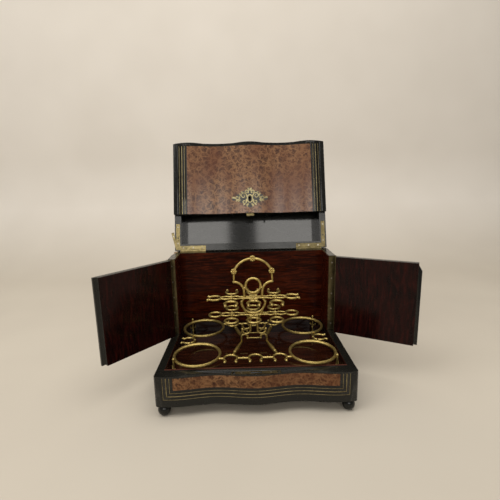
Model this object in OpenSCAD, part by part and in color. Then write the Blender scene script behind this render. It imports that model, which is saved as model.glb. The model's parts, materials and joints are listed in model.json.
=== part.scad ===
// Drinks chest: a tray on bun feet with a fixed back, two side doors, a deep hinged lid,
// a front panel hung from the lid's rim, and a lift-out gilt rack for decanters and glasses.
// X runs to the right, Y to the back and Z up. The origin is on the table, under the middle.
// The chest is drawn standing open: the lid leans back and the front panel lies on its rim.

/* [Chest] */
// Width over the sides
case_w = 330; // [315:1:360]
// Depth from the swelling of the front to the back
case_d = 240.5; // [232:0.5:262]
// Height of the compartment, from the tray's rim to the lid
wall_h = 156; // [140:1:190]
// Thickness of the side returns and of the tray's sides
wall_t = 13.5; // [12:0.5:16]
// Thickness of the back wall
back_t = 18.5; // [16:0.5:20]
// Depth of the fixed side returns, measured from the back
return_d = 76; // [70:0.5:92]
// Depth of the wave in the front
wave_depth = 6.4; // [3:0.2:7]
// Distance between two swellings of the front
wave_pitch = 136; // [126:1:146]
// Width of the canted front corners
cant = 2.5; // [1.5:0.25:3]
// Thickness of the polished sheets that line the compartment
lining_t = 1.5; // [1:0.1:2]

/* [Tray] */
// Height of the tray's body, without the feet
base_h = 53.3; // [50:0.1:70]
// Thickness of the front rail at its swelling
front_rail_t = 21.5; // [20:0.5:26]
// Depth of the tray, from its rim to its polished floor
tray_depth = 27.4; // [20:0.1:32]
// Thickness of the polished floor
tray_board_t = 4; // [3:0.5:6]
// Thickness of the bottom board
bottom_board_t = 7; // [5:0.5:8]
// How far the bottom board stands above the rails' lower edges
bottom_inset = 2; // [1:0.5:4]
// Widest diameter of a bun foot
foot_d = 21.4; // [18:0.2:24]
// Height of a bun foot
foot_h = 20; // [16:0.1:22]
// Distance from the chest's sides to the middle of a foot
foot_inset = 12; // [11.5:0.5:16]

/* [Lid] */
// Outer height of the lid
lid_h = 56; // [50:1:75]
// Thickness of the lid's rails
lid_wall_t = 14; // [12:0.5:15]
// Thickness of the lid's top board
lid_board_t = 8; // [6:0.5:10]
// Gap between the closed lid's rim and the walls
rim_gap = 0.4; // [0.3:0.05:0.6]
// How far the drawn lid is turned back from closed
lid_open = 105.5; // [100:0.5:112]

/* [Front panel] */
// Thickness of the panel at its swelling
panel_t = 14.5; // [14:0.25:17]
// How far the panel's hinge line lies inside its upper inner edge
panel_pin_in = 3.5; // [3.2:0.1:3.8]
// Fold of the drawn panel against the lid's rim
panel_fold = 90; // [85:1:90]

/* [Doors] */
// Thickness of a side door
door_t = 12; // [10:0.5:13]
// Length of the lip at the door's free end
lip_l = 6.2; // [5:0.2:7]
// Thickness of that lip
lip_t = 5; // [4:0.2:6]
// Height lost from the right door's lip at its upper end
lip_loss = 15; // [8:1:30]
// How far the left door is drawn open
left_open = 40; // [5:1:110]
// How far the right door is drawn open
right_open = 62; // [5:1:110]
// Running gap between moving pieces
run_gap = 0.4; // [0.3:0.05:0.6]

/* [Hinges and fittings] */
// Thickness of the lid hinges' plates
plate_t = 1.5; // [1:0.1:2]
// Radius of the lid hinges' knuckles
knuckle_r = 2.4; // [2.2:0.1:2.6]
// Distance of the lid's hinge line behind the back wall
pin_out = 1.2; // [1:0.1:1.6]
// Length of a lid hinge along the back
hinge_l = 55; // [40:1:70]
// Length of a lid hinge's arm along the side of the lid
arm_l = 48; // [36:1:54]
// Width of a lid hinge's arm
arm_w = 8; // [7:0.5:9]
// Thickness of the door hinges' leaves
leaf_t = 1.2; // [1:0.1:1.4]
// Radius of the door hinges' knuckles
door_knuckle_r = 1.7; // [1.6:0.05:1.8]
// Length of each of the front panel's two hinges
panel_hinge_l = 30; // [24:1:34]
// Distance of the front panel's hinges from the middle
panel_hinge_x = 110; // [108:1:118]
// Lean of the loose hinge arm
arm_lean = 15; // [6:1:16]
// Radius of a screw's head
screw_r = 1.7; // [1.4:0.1:2]
// Length of a screw
screw_l = 6; // [5:0.5:7]
// Length of the strike plate
strike_l = 80; // [79:1:96]
// Width of the strike plate
strike_w = 8; // [7:0.5:9]
// Width of the lock's bolt
bolt_w = 16.5; // [12:0.5:20]
// How far the bolt and the locating pins stand out of the panel
bolt_throw = 5.5; // [4:0.5:7]
// Distance of the locating pins from the middle
locating_x = 36.4; // [34:0.2:37]
// Radius of a locating pin
locating_r = 2; // [1.5:0.1:2.2]

/* [Inlay] */
// Half the length of the burr panels
burr_half = 134.7; // [125:0.1:136]
// Thickness of veneer and stringing
inlay_t = 0.8; // [0.6:0.1:1]
// Distances of the three brass lines from the burr
string_out = [5.2, 10.8, 16.6];
// Widths of the three brass lines
string_w = [0.7, 1.3, 0.7];
// Height of the burr strip on the tray's front
base_burr_h = 21; // [16:0.5:23]
// Dark edge above that strip
base_burr_top = 2.6; // [2:0.1:4]
// Dark edge above the front panel's burr
panel_burr_top = 6; // [2:0.5:8]
// Width of the lock's inlaid shield
shield_w = 82; // [60:1:90]
// Height of the shield
shield_h = 50; // [40:1:54]
// Height of the keyhole above the panel's lower edge
keyhole_up = 33; // [32:1:40]

/* [Rack] */
// Radius of a decanter ring, to the middle of its wire
ring_r = 39.8; // [38:0.1:40]
// Radius of the decanter rings' wire
ring_wire_r = 2.6; // [2:0.1:2.6]
// Distance of the decanter rings from the middle, left and right
ring_x = 101.5; // [99:0.5:103]
// Distance of the decanter rings from the middle, front and back
ring_y = 57.5; // [55:0.5:58.5]
// Height of the decanter rings above the tray's floor
ring_up = 33.4; // [28:0.2:45]
// Radius of a glass hook or glass ring, to the middle of its bar
glass_r = 11.6; // [11:0.1:11.8]
// Width of the cast bars
bar_w = 4; // [3.2:0.1:4]
// Height of the lower glass tier above the decanter rings
lower_up = 51; // [48:1:56]
// Height of the upper glass tier above the lower one
upper_up = 32.5; // [30:0.5:36]
// Distance of the tiers' end rings from the middle
tier_end_x = 72; // [70:0.5:74]
// Distance of the tiers' corner rings from the middle, left and right
tier_x = 41; // [38:0.5:42]
// Distance of the tiers' front and back rings from the middle
tier_y = 32.5; // [30:0.5:34]
// Distance between the hooks along the front bar
hook_pitch = 42.5; // [40:0.5:44]
// Distance of the hook bars from the middle
hook_y = 74; // [72:0.5:75]
// Distance of the side hooks from the middle
side_hook_x = 125; // [124:0.5:127]
// Thickness of the carrying handle
handle_t = 4.6; // [4:0.1:5]
// Height of the carrying handle above the upper tier
handle_up = 74.5; // [72:0.5:80]
// Play between the handle and the tiers' bars
grip_gap = 0.15; // [0.1:0.05:0.2]
// How far the rack's feet clear the tray's floor
foot_gap = 0.3; // [0.2:0.05:0.4]

/* [Hidden] */
$fn = 48;

// Finishes
ebony = [0.12, 0.12, 0.11];
burr = [0.62, 0.36, 0.2];
rosewood = [0.28, 0.08, 0.05];
brass = [0.66, 0.55, 0.3];
gilt = [0.8, 0.65, 0.3];
steel = [0.5, 0.5, 0.48];
grey_polish = [0.3, 0.3, 0.28];

// Heights
rim_z = foot_h + base_h;
top_z = rim_z + wall_h;
wall_top = top_z - rim_gap / 2;
lid_z = top_z + rim_gap / 2;
lid_top = lid_z + lid_h;
lid_rail_h = lid_h - lid_board_t;
floor_z = rim_z - tray_depth;
ring_z = floor_z + ring_up;
lower_z = ring_z + lower_up;
upper_z = lower_z + upper_up;

// Plan
half_w = case_w / 2;
back_y = case_d / 2;
front_y0 = -case_d / 2;
tray_front_y = front_y0 + front_rail_t;
tray_back_y = back_y - back_t;
tray_x = half_w - wall_t;
panel_y = front_y0 + panel_t;
return_y = back_y - return_d;
corner_x = half_w - cant;
wave_steps = 60;
cut = 0.05;
inlay_gap = 0.03;

// Hinge lines
lid_axis = [0, back_y + pin_out, top_z];
panel_axis = [0, panel_y - panel_pin_in, lid_z - panel_pin_in - 0.3];
door_axis_x = half_w + 0.9;
door_axis_y = return_y - leaf_t - 0.8;
door_back_y = door_axis_y - leaf_t - 0.8;
door_front_y = panel_y + run_gap;
lip_y = door_front_y - lip_l;
door_z0 = rim_z + run_gap;
door_z1 = wall_top - run_gap / 2;
panel_z0 = rim_z + run_gap;
panel_z1 = wall_top;
lock_y = front_y0 + 8;

// The wave of the front, as a distance along Y for each distance along X
function front_y(x) = front_y0 + wave_depth * (1 - cos(360 * x / wave_pitch)) / 2;
function wave(x0, x1, inset, n = wave_steps) =
  [for (i = [0 : n]) let (x = x0 + (x1 - x0) * i / n) [x, front_y(x) + inset]];
function reversed(list) = [for (i = [len(list) - 1 : -1 : 0]) list[i]];

// Plan of a board with the waved front and canted corners, back to the line y = back
module waved_plan(back) {
  corner_y = front_y(corner_x) + cant;
  polygon(concat([[-half_w, back], [-half_w, corner_y]], wave(-corner_x, corner_x, 0),
    [[half_w, corner_y], [half_w, back]]));
}

// A strip that follows the front's surface, from x0 to x1 and z0 to z1, t deep
module front_strip(x0, x1, z0, z1, t = inlay_t) {
  steps = max(1, ceil((x1 - x0) / 5));
  translate([0, 0, z0])
    linear_extrude(z1 - z0)
      polygon(concat(wave(x0, x1, 0, steps), reversed(wave(x0, x1, t, steps))));
}

// The same strip, a little larger and open to the front: the bed it is laid in
module front_bed(x0, x1, z0, z1) {
  g = inlay_gap;
  steps = max(1, ceil((x1 - x0) / 5));
  translate([0, 0, z0 - g])
    linear_extrude(z1 - z0 + 2 * g)
      polygon(concat(wave(x0 - g, x1 + g, -1, steps),
        reversed(wave(x0 - g, x1 + g, inlay_t + g, steps))));
}

// Three upright brass lines on each side, each from its own lower to its own upper height
module upright_lines(z0s, z1s, bed = false) {
  for (s = [-1, 1], i = [0 : 2]) {
    x = s * (burr_half + string_out[i]);
    w = string_w[i] / 2;
    if (bed) front_bed(x - w, x + w, z0s[i], z1s[i]);
    else front_strip(x - w, x + w, z0s[i], z1s[i]);
  }
}

// Three level brass lines, each as long as the space between its own uprights
module level_lines(zs, bed = false) {
  for (i = [0 : 2]) {
    w = string_w[i] / 2;
    x = burr_half + string_out[i] - w - inlay_gap;
    if (bed) front_bed(-x, x, zs[i] - w, zs[i] + w);
    else front_strip(-x, x, zs[i] - w, zs[i] + w);
  }
}

// A countersunk screw: its head is flush with z = 0 and it points down
head_h = 0.6;
module screw(r = screw_r) {
  translate([0, 0, -head_h]) cylinder(h = head_h, r = r);
  translate([0, 0, -screw_l]) cylinder(h = screw_l - head_h, r = r / 2);
}

// The hole for that screw
module screw_hole(r = screw_r) {
  translate([0, 0, -head_h - cut]) cylinder(h = head_h + 2 * cut, r = r + cut);
  translate([0, 0, -screw_l - cut]) cylinder(h = screw_l, r = r / 2 + cut);
}

// Puts a child's copy at each of the points
module at(points) {
  for (p = points) translate(p) children();
}

// Poses of the moving parts. Each part is drawn closed and then turned on its own hinge line.
module on_lid() {
  translate(lid_axis) rotate([-lid_open, 0, 0]) translate(-lid_axis) children();
}
module on_panel() {
  on_lid() translate(panel_axis) rotate([panel_fold, 0, 0]) translate(-panel_axis) children();
}
module on_door(s) {
  turn = s * (s < 0 ? left_open : right_open);
  axis = [s * door_axis_x, door_axis_y, 0];
  translate(axis) rotate([0, 0, turn]) translate(-axis) children();
}
module mirrored(s) {
  if (s < 0) mirror([1, 0, 0]) children();
  else children();
}

// Tray

base_burr_z1 = rim_z - base_burr_top;
base_burr_z0 = base_burr_z1 - base_burr_h;
base_line_z = [for (d = string_out) base_burr_z0 - d];
base_upright_z0 = [for (i = [0 : 2]) base_line_z[i] - string_w[i] / 2];
base_upright_z1 = [for (i = [0 : 2]) base_burr_z1];

strike_points = [for (s = [-1, 1]) [s * 0.3 * strike_l, lock_y, rim_z]];

// The way in for the bolt and the locating pins, from the plate down into the rail
module strike_holes() {
  slot = [bolt_w + 1.6, 4.8, bolt_throw + 3];
  translate([-slot[0] / 2, lock_y - slot[1] / 2, rim_z - slot[2] + 1]) cube(slot);
  for (s = [-1, 1])
    translate([s * locating_x, lock_y, rim_z - bolt_throw - 2])
      cylinder(h = bolt_throw + 3, r = locating_r + 0.8);
}

module front_rail() {
  color(ebony) difference() {
    translate([0, 0, foot_h]) linear_extrude(base_h) waved_plan(tray_front_y);
    front_bed(-burr_half, burr_half, base_burr_z0, base_burr_z1);
    upright_lines(base_upright_z0, base_upright_z1, true);
    level_lines(base_line_z, true);
    translate([-strike_l / 2 - cut, lock_y - strike_w / 2 - cut, rim_z - leaf_t])
      cube([strike_l + 2 * cut, strike_w + 2 * cut, leaf_t + 1]);
    strike_holes();
    at(strike_points) screw_hole();
  }
}

module base_rails() {
  color(ebony) {
    for (s = [-1, 1]) mirrored(s)
      translate([tray_x, tray_front_y, foot_h]) cube([wall_t, tray_back_y - tray_front_y, base_h]);
    translate([-half_w, tray_back_y, foot_h]) cube([case_w, back_t, base_h]);
  }
}

bottom_z = foot_h + bottom_inset;
tray_l = tray_back_y - tray_front_y;

module bottom_board() {
  color(ebony)
    translate([-tray_x, tray_front_y, bottom_z]) cube([2 * tray_x, tray_l, bottom_board_t]);
}

module floor_bearers() {
  bearer_w = 14;
  bearer_z0 = bottom_z + bottom_board_t;
  bearer_h = floor_z - tray_board_t - bearer_z0;
  color(burr)
    for (x = [-tray_x, -bearer_w / 2, tray_x - bearer_w])
      translate([x, tray_front_y, bearer_z0]) cube([bearer_w, tray_l, bearer_h]);
}

module tray_board() {
  color(rosewood)
    translate([-tray_x, tray_front_y, floor_z - tray_board_t])
      cube([2 * tray_x, tray_l, tray_board_t]);
}

// Four polished strips round the inside of the tray. The front one shows as a thin red lip.
module tray_lining() {
  lip = 1.2;
  h = tray_depth;
  color(rosewood) {
    translate([-tray_x, tray_front_y, floor_z]) cube([2 * tray_x, lining_t, h + lip]);
    translate([-tray_x, tray_back_y - lining_t, floor_z]) cube([2 * tray_x, lining_t, h]);
    for (s = [-1, 1]) mirrored(s)
      translate([tray_x - lining_t, tray_front_y + lining_t, floor_z])
        cube([lining_t, tray_l - 2 * lining_t, h]);
  }
}

module base_burr() {
  color(burr) front_strip(-burr_half, burr_half, base_burr_z0, base_burr_z1);
}

module base_stringing() {
  color(brass) {
    upright_lines(base_upright_z0, base_upright_z1);
    level_lines(base_line_z);
  }
}

// A bun foot: a flattened ball with a flat at the table and one under the rail
module foot() {
  bulge = foot_h / 2 + 0.35;
  rotate_extrude() {
    intersection() {
      translate([foot_d / 2 - bulge, foot_h / 2]) circle(r = bulge);
      square([foot_d / 2, foot_h]);
    }
    square([foot_d / 2 - bulge, foot_h]);
  }
}

module feet() {
  x = half_w - foot_inset;
  y = back_y - foot_inset;
  color(ebony) at([[-x, -y, 0], [x, -y, 0], [-x, y, 0], [x, y, 0]]) foot();
}

// Carcass

hinge_x0 = half_w - 12 - hinge_l;
plate_d = 8.8;
plate_back_y = lid_axis[1] - knuckle_r - 0.3;
plate_front_y = plate_back_y - plate_d;
leaf_screw_x = [for (i = [0 : 2]) hinge_x0 + hinge_l * (0.12 + 0.38 * i)];
case_leaf_points = [for (x = leaf_screw_x) [x, (plate_front_y + plate_back_y) / 2, wall_top]];

module back_board() {
  color(ebony) difference() {
    translate([-half_w, tray_back_y, rim_z]) cube([case_w, back_t, wall_top - rim_z]);
    for (s = [-1, 1]) mirrored(s) {
      translate([hinge_x0 - cut, plate_front_y - cut, wall_top - plate_t])
        cube([hinge_l + 2 * cut, back_t, plate_t + 1]);
      translate([hinge_x0 - 0.5, plate_back_y, top_z - knuckle_r - 0.4])
        cube([hinge_l + 1, back_t, knuckle_r + 1]);
      at(case_leaf_points) screw_hole();
    }
    loose_arm_shape(0.5);
  }
}

// The polished sheets on the inside of the back and of the returns
module compartment_lining() {
  h = wall_top - rim_z - 0.5;
  back_half = tray_x - lining_t;
  color(rosewood) {
    translate([-back_half, tray_back_y - lining_t, rim_z]) cube([2 * back_half, lining_t, h]);
    for (s = [-1, 1]) mirrored(s)
      translate([tray_x - lining_t, return_y, rim_z])
        cube([lining_t, tray_back_y - return_y, h]);
  }
}

door_screw_z = [for (i = [0 : 4]) door_z0 + (door_z1 - door_z0) * (0.09 + 0.205 * i)];
fixed_leaf_x = (tray_x + door_axis_x - door_knuckle_r) / 2;
fixed_leaf_screws = [for (z = door_screw_z) [fixed_leaf_x, return_y - leaf_t, z]];

module return_wall() {
  difference() {
    translate([tray_x, return_y, rim_z])
      cube([wall_t, tray_back_y - return_y, wall_top - rim_z]);
    at(fixed_leaf_screws) rotate([90, 0, 0]) screw_hole();
  }
}

module right_return() {
  color(ebony) return_wall();
}

// The left return has the bare bed in its top that the loose hinge arm left behind
module left_return() {
  color(ebony) difference() {
    mirrored(-1) return_wall();
    loose_arm_shape(0.5);
  }
}

// Knuckles along Z, n of them between z0 and z1, of which every other one belongs to a leaf
module upright_knuckles(n, first, r, bore) {
  step = (door_z1 - door_z0) / n;
  for (i = [first : 2 : n - 1])
    translate([door_axis_x, door_axis_y, door_z0 + i * step + 0.15]) difference() {
      union() {
        cylinder(h = step - 0.3, r = r);
        side = first == 0 ? 0.8 : -0.8 - leaf_t;
        translate([-0.9 - door_knuckle_r, side, 0]) cube([0.9 + door_knuckle_r, leaf_t, step - 0.3]);
      }
      translate([0, 0, -1]) cylinder(h = step + 2, r = bore);
    }
}

door_pin_r = 0.8;
door_knuckles = 9;
leaf_edge_x = door_axis_x - 0.9 - door_knuckle_r;

module fixed_leaf() {
  difference() {
    translate([tray_x, return_y - leaf_t, door_z0])
      cube([leaf_edge_x - tray_x, leaf_t, door_z1 - door_z0]);
    at(fixed_leaf_screws) rotate([90, 0, 0]) screw_hole();
  }
  upright_knuckles(door_knuckles, 0, door_knuckle_r, door_pin_r + cut);
}
module left_fixed_leaf() {
  color(brass) mirrored(-1) fixed_leaf();
}
module right_fixed_leaf() {
  color(brass) fixed_leaf();
}

lid_pin_r = 1.2;
lid_knuckles = 5;
knuckle_l = hinge_l / lid_knuckles;

module hinge_pins() {
  color(steel) for (s = [-1, 1]) mirrored(s) {
    translate([door_axis_x, door_axis_y, door_z0]) cylinder(h = door_z1 - door_z0, r = door_pin_r);
    translate([hinge_x0, lid_axis[1], lid_axis[2]])
      rotate([0, 90, 0]) cylinder(h = hinge_l, r = lid_pin_r);
  }
}

// Knuckles of a lid hinge that belong to a plate lying between z0 and z0 + plate_t
module lid_knuckle_row(first, z0) {
  for (i = [first : 2 : lid_knuckles - 1])
    translate([hinge_x0 + i * knuckle_l + 0.15, 0, 0]) difference() {
      union() {
        translate([0, lid_axis[1], lid_axis[2]])
          rotate([0, 90, 0]) cylinder(h = knuckle_l - 0.3, r = knuckle_r);
        translate([0, plate_back_y - cut, z0])
          cube([knuckle_l - 0.3, lid_axis[1] - plate_back_y, plate_t]);
      }
      translate([-1, lid_axis[1], lid_axis[2]])
        rotate([0, 90, 0]) cylinder(h = knuckle_l + 2, r = lid_pin_r + cut);
    }
}

module lid_hinge_case_leaves() {
  color(brass) for (s = [-1, 1]) mirrored(s) {
    difference() {
      translate([hinge_x0, plate_front_y, wall_top - plate_t])
        cube([hinge_l, plate_back_y - plate_front_y, plate_t]);
      at(case_leaf_points) screw_hole();
    }
    lid_knuckle_row(0, wall_top - plate_t);
  }
}

module strike_plate() {
  color(brass) difference() {
    translate([-strike_l / 2, lock_y - strike_w / 2, rim_z - leaf_t])
      cube([strike_l, strike_w, leaf_t]);
    strike_holes();
    at(strike_points) screw_hole();
  }
}

module case_screws() {
  color(steel) {
    at(strike_points) screw();
    for (s = [-1, 1]) mirrored(s) {
      at(case_leaf_points) screw();
      at(fixed_leaf_screws) rotate([90, 0, 0]) screw();
    }
  }
}

// Lid, drawn closed

lid_back_y = back_y - lid_wall_t;
rail_bite = 1;
arm_x0 = half_w - (lid_wall_t + arm_w) / 2;
arm_end_y = plate_front_y - arm_l;
lid_leaf_points = concat(
  [for (x = leaf_screw_x) [x, (plate_front_y + plate_back_y) / 2, lid_z]],
  [[arm_x0 + arm_w / 2, plate_front_y - arm_l * 0.86, lid_z],
   [arm_x0 + arm_w / 2, plate_front_y - arm_l * 0.12, lid_z]]);

panel_leaf_y0 = front_y0 + wave_depth - 0.8;
panel_knuckle_r = 2;
panel_pin_r = 0.9;
panel_leaf_t = 1.2;
panel_leaf_y1 = panel_axis[1] - panel_knuckle_r - 0.4;
panel_screw_r = screw_r * 0.7;
panel_leaf_points = [for (d = [-0.33, 0.33])
  [panel_hinge_x + d * panel_hinge_l, (panel_leaf_y0 + panel_leaf_y1) / 2, lid_z]];
panel_edge_points = [for (p = panel_leaf_points) [p[0], p[1], panel_z1]];

lid_burr_h = base_burr_h;
lid_front_line_z = [for (d = string_out) lid_z + lid_burr_h + d];
lid_upright_z0 = [for (i = [0 : 2]) lid_z + 0.2];
lid_upright_z1 = [for (i = [0 : 2]) lid_front_line_z[i] + string_w[i] / 2];

module lid_rails() {
  color(ebony) on_lid() difference() {
    union() {
      translate([0, 0, lid_z]) linear_extrude(lid_rail_h) waved_plan(panel_y);
      translate([-half_w, lid_back_y, lid_z]) cube([case_w, lid_wall_t, lid_rail_h]);
      for (s = [-1, 1]) mirrored(s)
        translate([half_w - lid_wall_t, panel_y - rail_bite, lid_z])
          cube([lid_wall_t, lid_back_y - panel_y + 2 * rail_bite, lid_rail_h]);
    }
    front_bed(-burr_half, burr_half, lid_z + 0.2, lid_z + lid_burr_h);
    upright_lines(lid_upright_z0, lid_upright_z1, true);
    level_lines(lid_front_line_z, true);
    for (s = [-1, 1]) mirrored(s) {
      hinge_plate_shape(cut);
      translate([hinge_x0 - 0.5, plate_back_y, top_z - 1])
        cube([hinge_l + 1, back_t, knuckle_r + 1.4]);
      at(lid_leaf_points) rotate([180, 0, 0]) screw_hole();
      translate([panel_hinge_x - panel_hinge_l / 2 - cut, panel_leaf_y0 - cut, lid_z - 1])
        cube([panel_hinge_l + 2 * cut, panel_y - panel_leaf_y0 + 1, panel_leaf_t + 1]);
      at(panel_leaf_points) rotate([180, 0, 0]) screw_hole(panel_screw_r);
    }
  }
}

// The bent plate of a lid hinge: one leg along the back, one arm along the side
module hinge_plate_shape(g = 0) {
  z0 = g > 0 ? lid_z - 1 : lid_z;
  h = g > 0 ? plate_t + 1 : plate_t;
  translate([hinge_x0 - g, plate_front_y - g, z0])
    cube([arm_x0 + arm_w - hinge_x0 + 2 * g, plate_back_y - plate_front_y + 2 * g, h]);
  translate([arm_x0 - g, arm_end_y - g, z0])
    cube([arm_w + 2 * g, arm_l + 2 * g, h]);
}

module lid_hinge_plates() {
  color(brass) on_lid() for (s = [-1, 1]) mirrored(s) {
    difference() {
      hinge_plate_shape();
      at(lid_leaf_points) rotate([180, 0, 0]) screw_hole();
      translate([arm_x0 + arm_w / 2, plate_front_y - arm_l * 0.36, lid_z - 1])
        cylinder(h = plate_t + 2, r = 1.6);
    }
    lid_knuckle_row(1, lid_z);
  }
}

lid_inset = 16;
burr_inset = half_w - burr_half;
lid_field_y1 = back_y - burr_inset - lid_inset;

// Plan of the burr field in the lid's top, or of a frame line at distance d outside it
module lid_field(d, g = 0) {
  x = burr_half - lid_inset + d + g;
  polygon(concat([[-x, lid_field_y1 + d + g]], wave(-x, x, burr_inset + lid_inset - d - g),
    [[x, lid_field_y1 + d + g]]));
}

module lid_frame_line(i, g) {
  difference() {
    lid_field(string_out[i] + string_w[i] / 2, g);
    lid_field(string_out[i] - string_w[i] / 2, -g);
  }
}

module lid_board() {
  g = inlay_gap;
  color(ebony) on_lid() difference() {
    translate([0, 0, lid_z + lid_rail_h]) linear_extrude(lid_board_t) waved_plan(back_y);
    translate([0, 0, lid_top - inlay_t - g]) linear_extrude(inlay_t + 1) lid_field(0, g);
    for (i = [0 : 2])
      translate([0, 0, lid_top - inlay_t - g]) linear_extrude(inlay_t + 1) lid_frame_line(i, g);
  }
}

module lid_lining() {
  x = half_w - lid_wall_t;
  color(grey_polish) on_lid()
    translate([-x, panel_y, lid_z + lid_rail_h - lining_t])
      cube([2 * x, lid_back_y - panel_y, lining_t]);
}

module lid_burr() {
  color(burr) on_lid() {
    front_strip(-burr_half, burr_half, lid_z + 0.2, lid_z + lid_burr_h);
    translate([0, 0, lid_top - inlay_t]) linear_extrude(inlay_t) lid_field(0);
  }
}

module lid_stringing() {
  color(brass) on_lid() {
    upright_lines(lid_upright_z0, lid_upright_z1);
    level_lines(lid_front_line_z);
    for (i = [0 : 2])
      translate([0, 0, lid_top - inlay_t]) linear_extrude(inlay_t) lid_frame_line(i, 0);
  }
}

loose_l = 38;
loose_w = 5.4;
loose_x = -half_w + 5.2;
loose_y = back_y - 2.5;

// The hinge arm that has come out of the left return. It leans outwards under the lid's rim.
module loose_arm_shape(g = 0) {
  z0 = lid_z - plate_t - g;
  h = g > 0 ? plate_t + 2 : plate_t;
  translate([loose_x, loose_y, z0]) rotate([0, 0, -arm_lean])
    translate([-loose_w / 2 - g, -loose_l - g, 0]) cube([loose_w + 2 * g, loose_l + 2 * g, h]);
}

module loose_hinge_arm() {
  color(brass) on_lid() difference() {
    loose_arm_shape();
    translate([loose_x, loose_y, 0]) rotate([0, 0, -arm_lean])
      translate([0, -loose_l * 0.78, lid_z - 4]) cylinder(h = 6, r = 1.5);
  }
}

// Knuckles of a front panel hinge. The outer two are the lid's and the middle one the panel's.
panel_knuckle_l = panel_hinge_l / 3;

module panel_knuckle(i, tab) {
  translate([panel_hinge_x - panel_hinge_l / 2 + i * panel_knuckle_l + 0.15, 0, 0]) difference() {
    union() {
      translate([0, panel_axis[1], panel_axis[2]])
        rotate([0, 90, 0]) cylinder(h = panel_knuckle_l - 0.3, r = panel_knuckle_r);
      translate([0, tab[0], tab[1]]) cube([panel_knuckle_l - 0.3, tab[2], tab[3]]);
    }
    translate([-1, panel_axis[1], panel_axis[2]])
      rotate([0, 90, 0]) cylinder(h = panel_knuckle_l + 2, r = panel_pin_r + cut);
  }
}

module panel_hinge_lid_leaves() {
  color(brass) on_lid() for (s = [-1, 1]) mirrored(s) {
    difference() {
      translate([panel_hinge_x - panel_hinge_l / 2, panel_leaf_y0, lid_z])
        cube([panel_hinge_l, panel_y - panel_leaf_y0, panel_leaf_t]);
      at(panel_leaf_points) rotate([180, 0, 0]) screw_hole(panel_screw_r);
    }
    for (i = [0, 2])
      panel_knuckle(i, [panel_axis[1] - 1.2, panel_axis[2], 2.4, lid_z - panel_axis[2] + 0.3]);
  }
}

module panel_hinge_pins() {
  color(steel) on_lid() for (s = [-1, 1]) mirrored(s)
    translate([panel_hinge_x - panel_hinge_l / 2, panel_axis[1], panel_axis[2]])
      rotate([0, 90, 0]) cylinder(h = panel_hinge_l, r = panel_pin_r);
}

module lid_screws() {
  color(steel) on_lid() for (s = [-1, 1]) mirrored(s) {
    at(lid_leaf_points) rotate([180, 0, 0]) screw();
    at(panel_leaf_points) rotate([180, 0, 0]) screw(panel_screw_r);
  }
}

// Front panel, drawn closed

panel_line_z0 = [for (i = [0 : 2]) panel_z0];
panel_burr_z1 = panel_z1 - panel_burr_top;
panel_line_z1 = [for (i = [0 : 2]) panel_burr_z1];
keyhole_z = panel_z0 + keyhole_up;
lock_w = 34;
lock_h = 44;
lock_t = 7;

// The keyhole, from in front of the panel to the given depth, widened by g
module keyhole(depth, g = 0) {
  drop = 7.9 + g;
  translate([0, front_y0 - 1, keyhole_z]) rotate([-90, 0, 0]) cylinder(h = depth + 1, r = 3.3 + g);
  translate([-1.8 - g, front_y0 - 1, keyhole_z - drop]) cube([3.6 + 2 * g, depth + 1, drop]);
}

// The outline of the lock's shield: a lozenge with leafy lobes
module shield_outline(g = 0) {
  lobes = [[0.42, -0.03, 4.4], [0.3, 0.05, 5.4], [0.2, -0.1, 7], [0.17, 0.17, 6], [0.08, 0.08, 9]];
  for (s = [-1, 1], l = lobes)
    translate([s * l[0] * shield_w, l[1] * shield_h]) circle(r = l[2] + g);
  circle(r = shield_h * 0.2 + g);
  tip = shield_h * 0.46 + g;
  polygon([[0, tip], [-0.2 * shield_w, 0.12 * shield_h], [-0.4 * shield_w, -0.02 * shield_h - g],
    [-0.2 * shield_w, -0.22 * shield_h - g], [0, -tip], [0.2 * shield_w, -0.22 * shield_h - g],
    [0.4 * shield_w, -0.02 * shield_h - g], [0.2 * shield_w, 0.12 * shield_h]]);
}

// The shield's outline pushed through the front's surface
module shield_through(g = 0) {
  translate([0, front_y0 - 2, keyhole_z]) rotate([-90, 0, 0]) mirror([0, 1, 0])
    linear_extrude(panel_t) shield_outline(g);
}

module panel_notches() {
  r = panel_knuckle_r + 0.5;
  for (s = [-1, 1]) mirrored(s) {
    translate([panel_hinge_x - panel_hinge_l / 2 - 0.3, panel_axis[1] - r, panel_axis[2] - r])
      cube([panel_hinge_l + 0.6, panel_t, panel_t]);
    translate([panel_hinge_x - panel_hinge_l / 2 - cut, panel_leaf_y0 - cut,
      panel_z1 - panel_leaf_t])
      cube([panel_hinge_l + 2 * cut, panel_t, panel_leaf_t + 1]);
    at(panel_edge_points) screw_hole(panel_screw_r);
  }
}

module front_panel() {
  bevel = panel_pin_in * sqrt(2) / 2 + 0.3;
  color(ebony) on_panel() difference() {
    translate([0, 0, panel_z0]) linear_extrude(panel_z1 - panel_z0) waved_plan(panel_y);
    front_bed(-burr_half, burr_half, panel_z0, panel_burr_z1);
    upright_lines(panel_line_z0, panel_line_z1, true);
    keyhole(lock_y - front_y0, 0.2);
    for (s = [-1, 1]) mirrored(s)
      translate([half_w - lip_t - run_gap, lip_y - run_gap, panel_z0 - 1])
        cube([lip_t + 1, lip_l + 2, wall_h + 2]);
    translate([-half_w - 1, panel_axis[1], panel_axis[2]]) rotate([-45, 0, 0])
      translate([0, -panel_t, bevel]) cube([case_w + 2, 2 * panel_t, panel_t]);
    panel_notches();
    translate([-lock_w / 2 - cut, lock_y - lock_t / 2 - cut, panel_z0 - 1])
      cube([lock_w + 2 * cut, lock_t + 2 * cut, lock_h + 1 + cut]);
    for (s = [-1, 1])
      translate([s * locating_x, lock_y, panel_z0 - 1]) cylinder(h = 13, r = locating_r + cut);
  }
}

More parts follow.
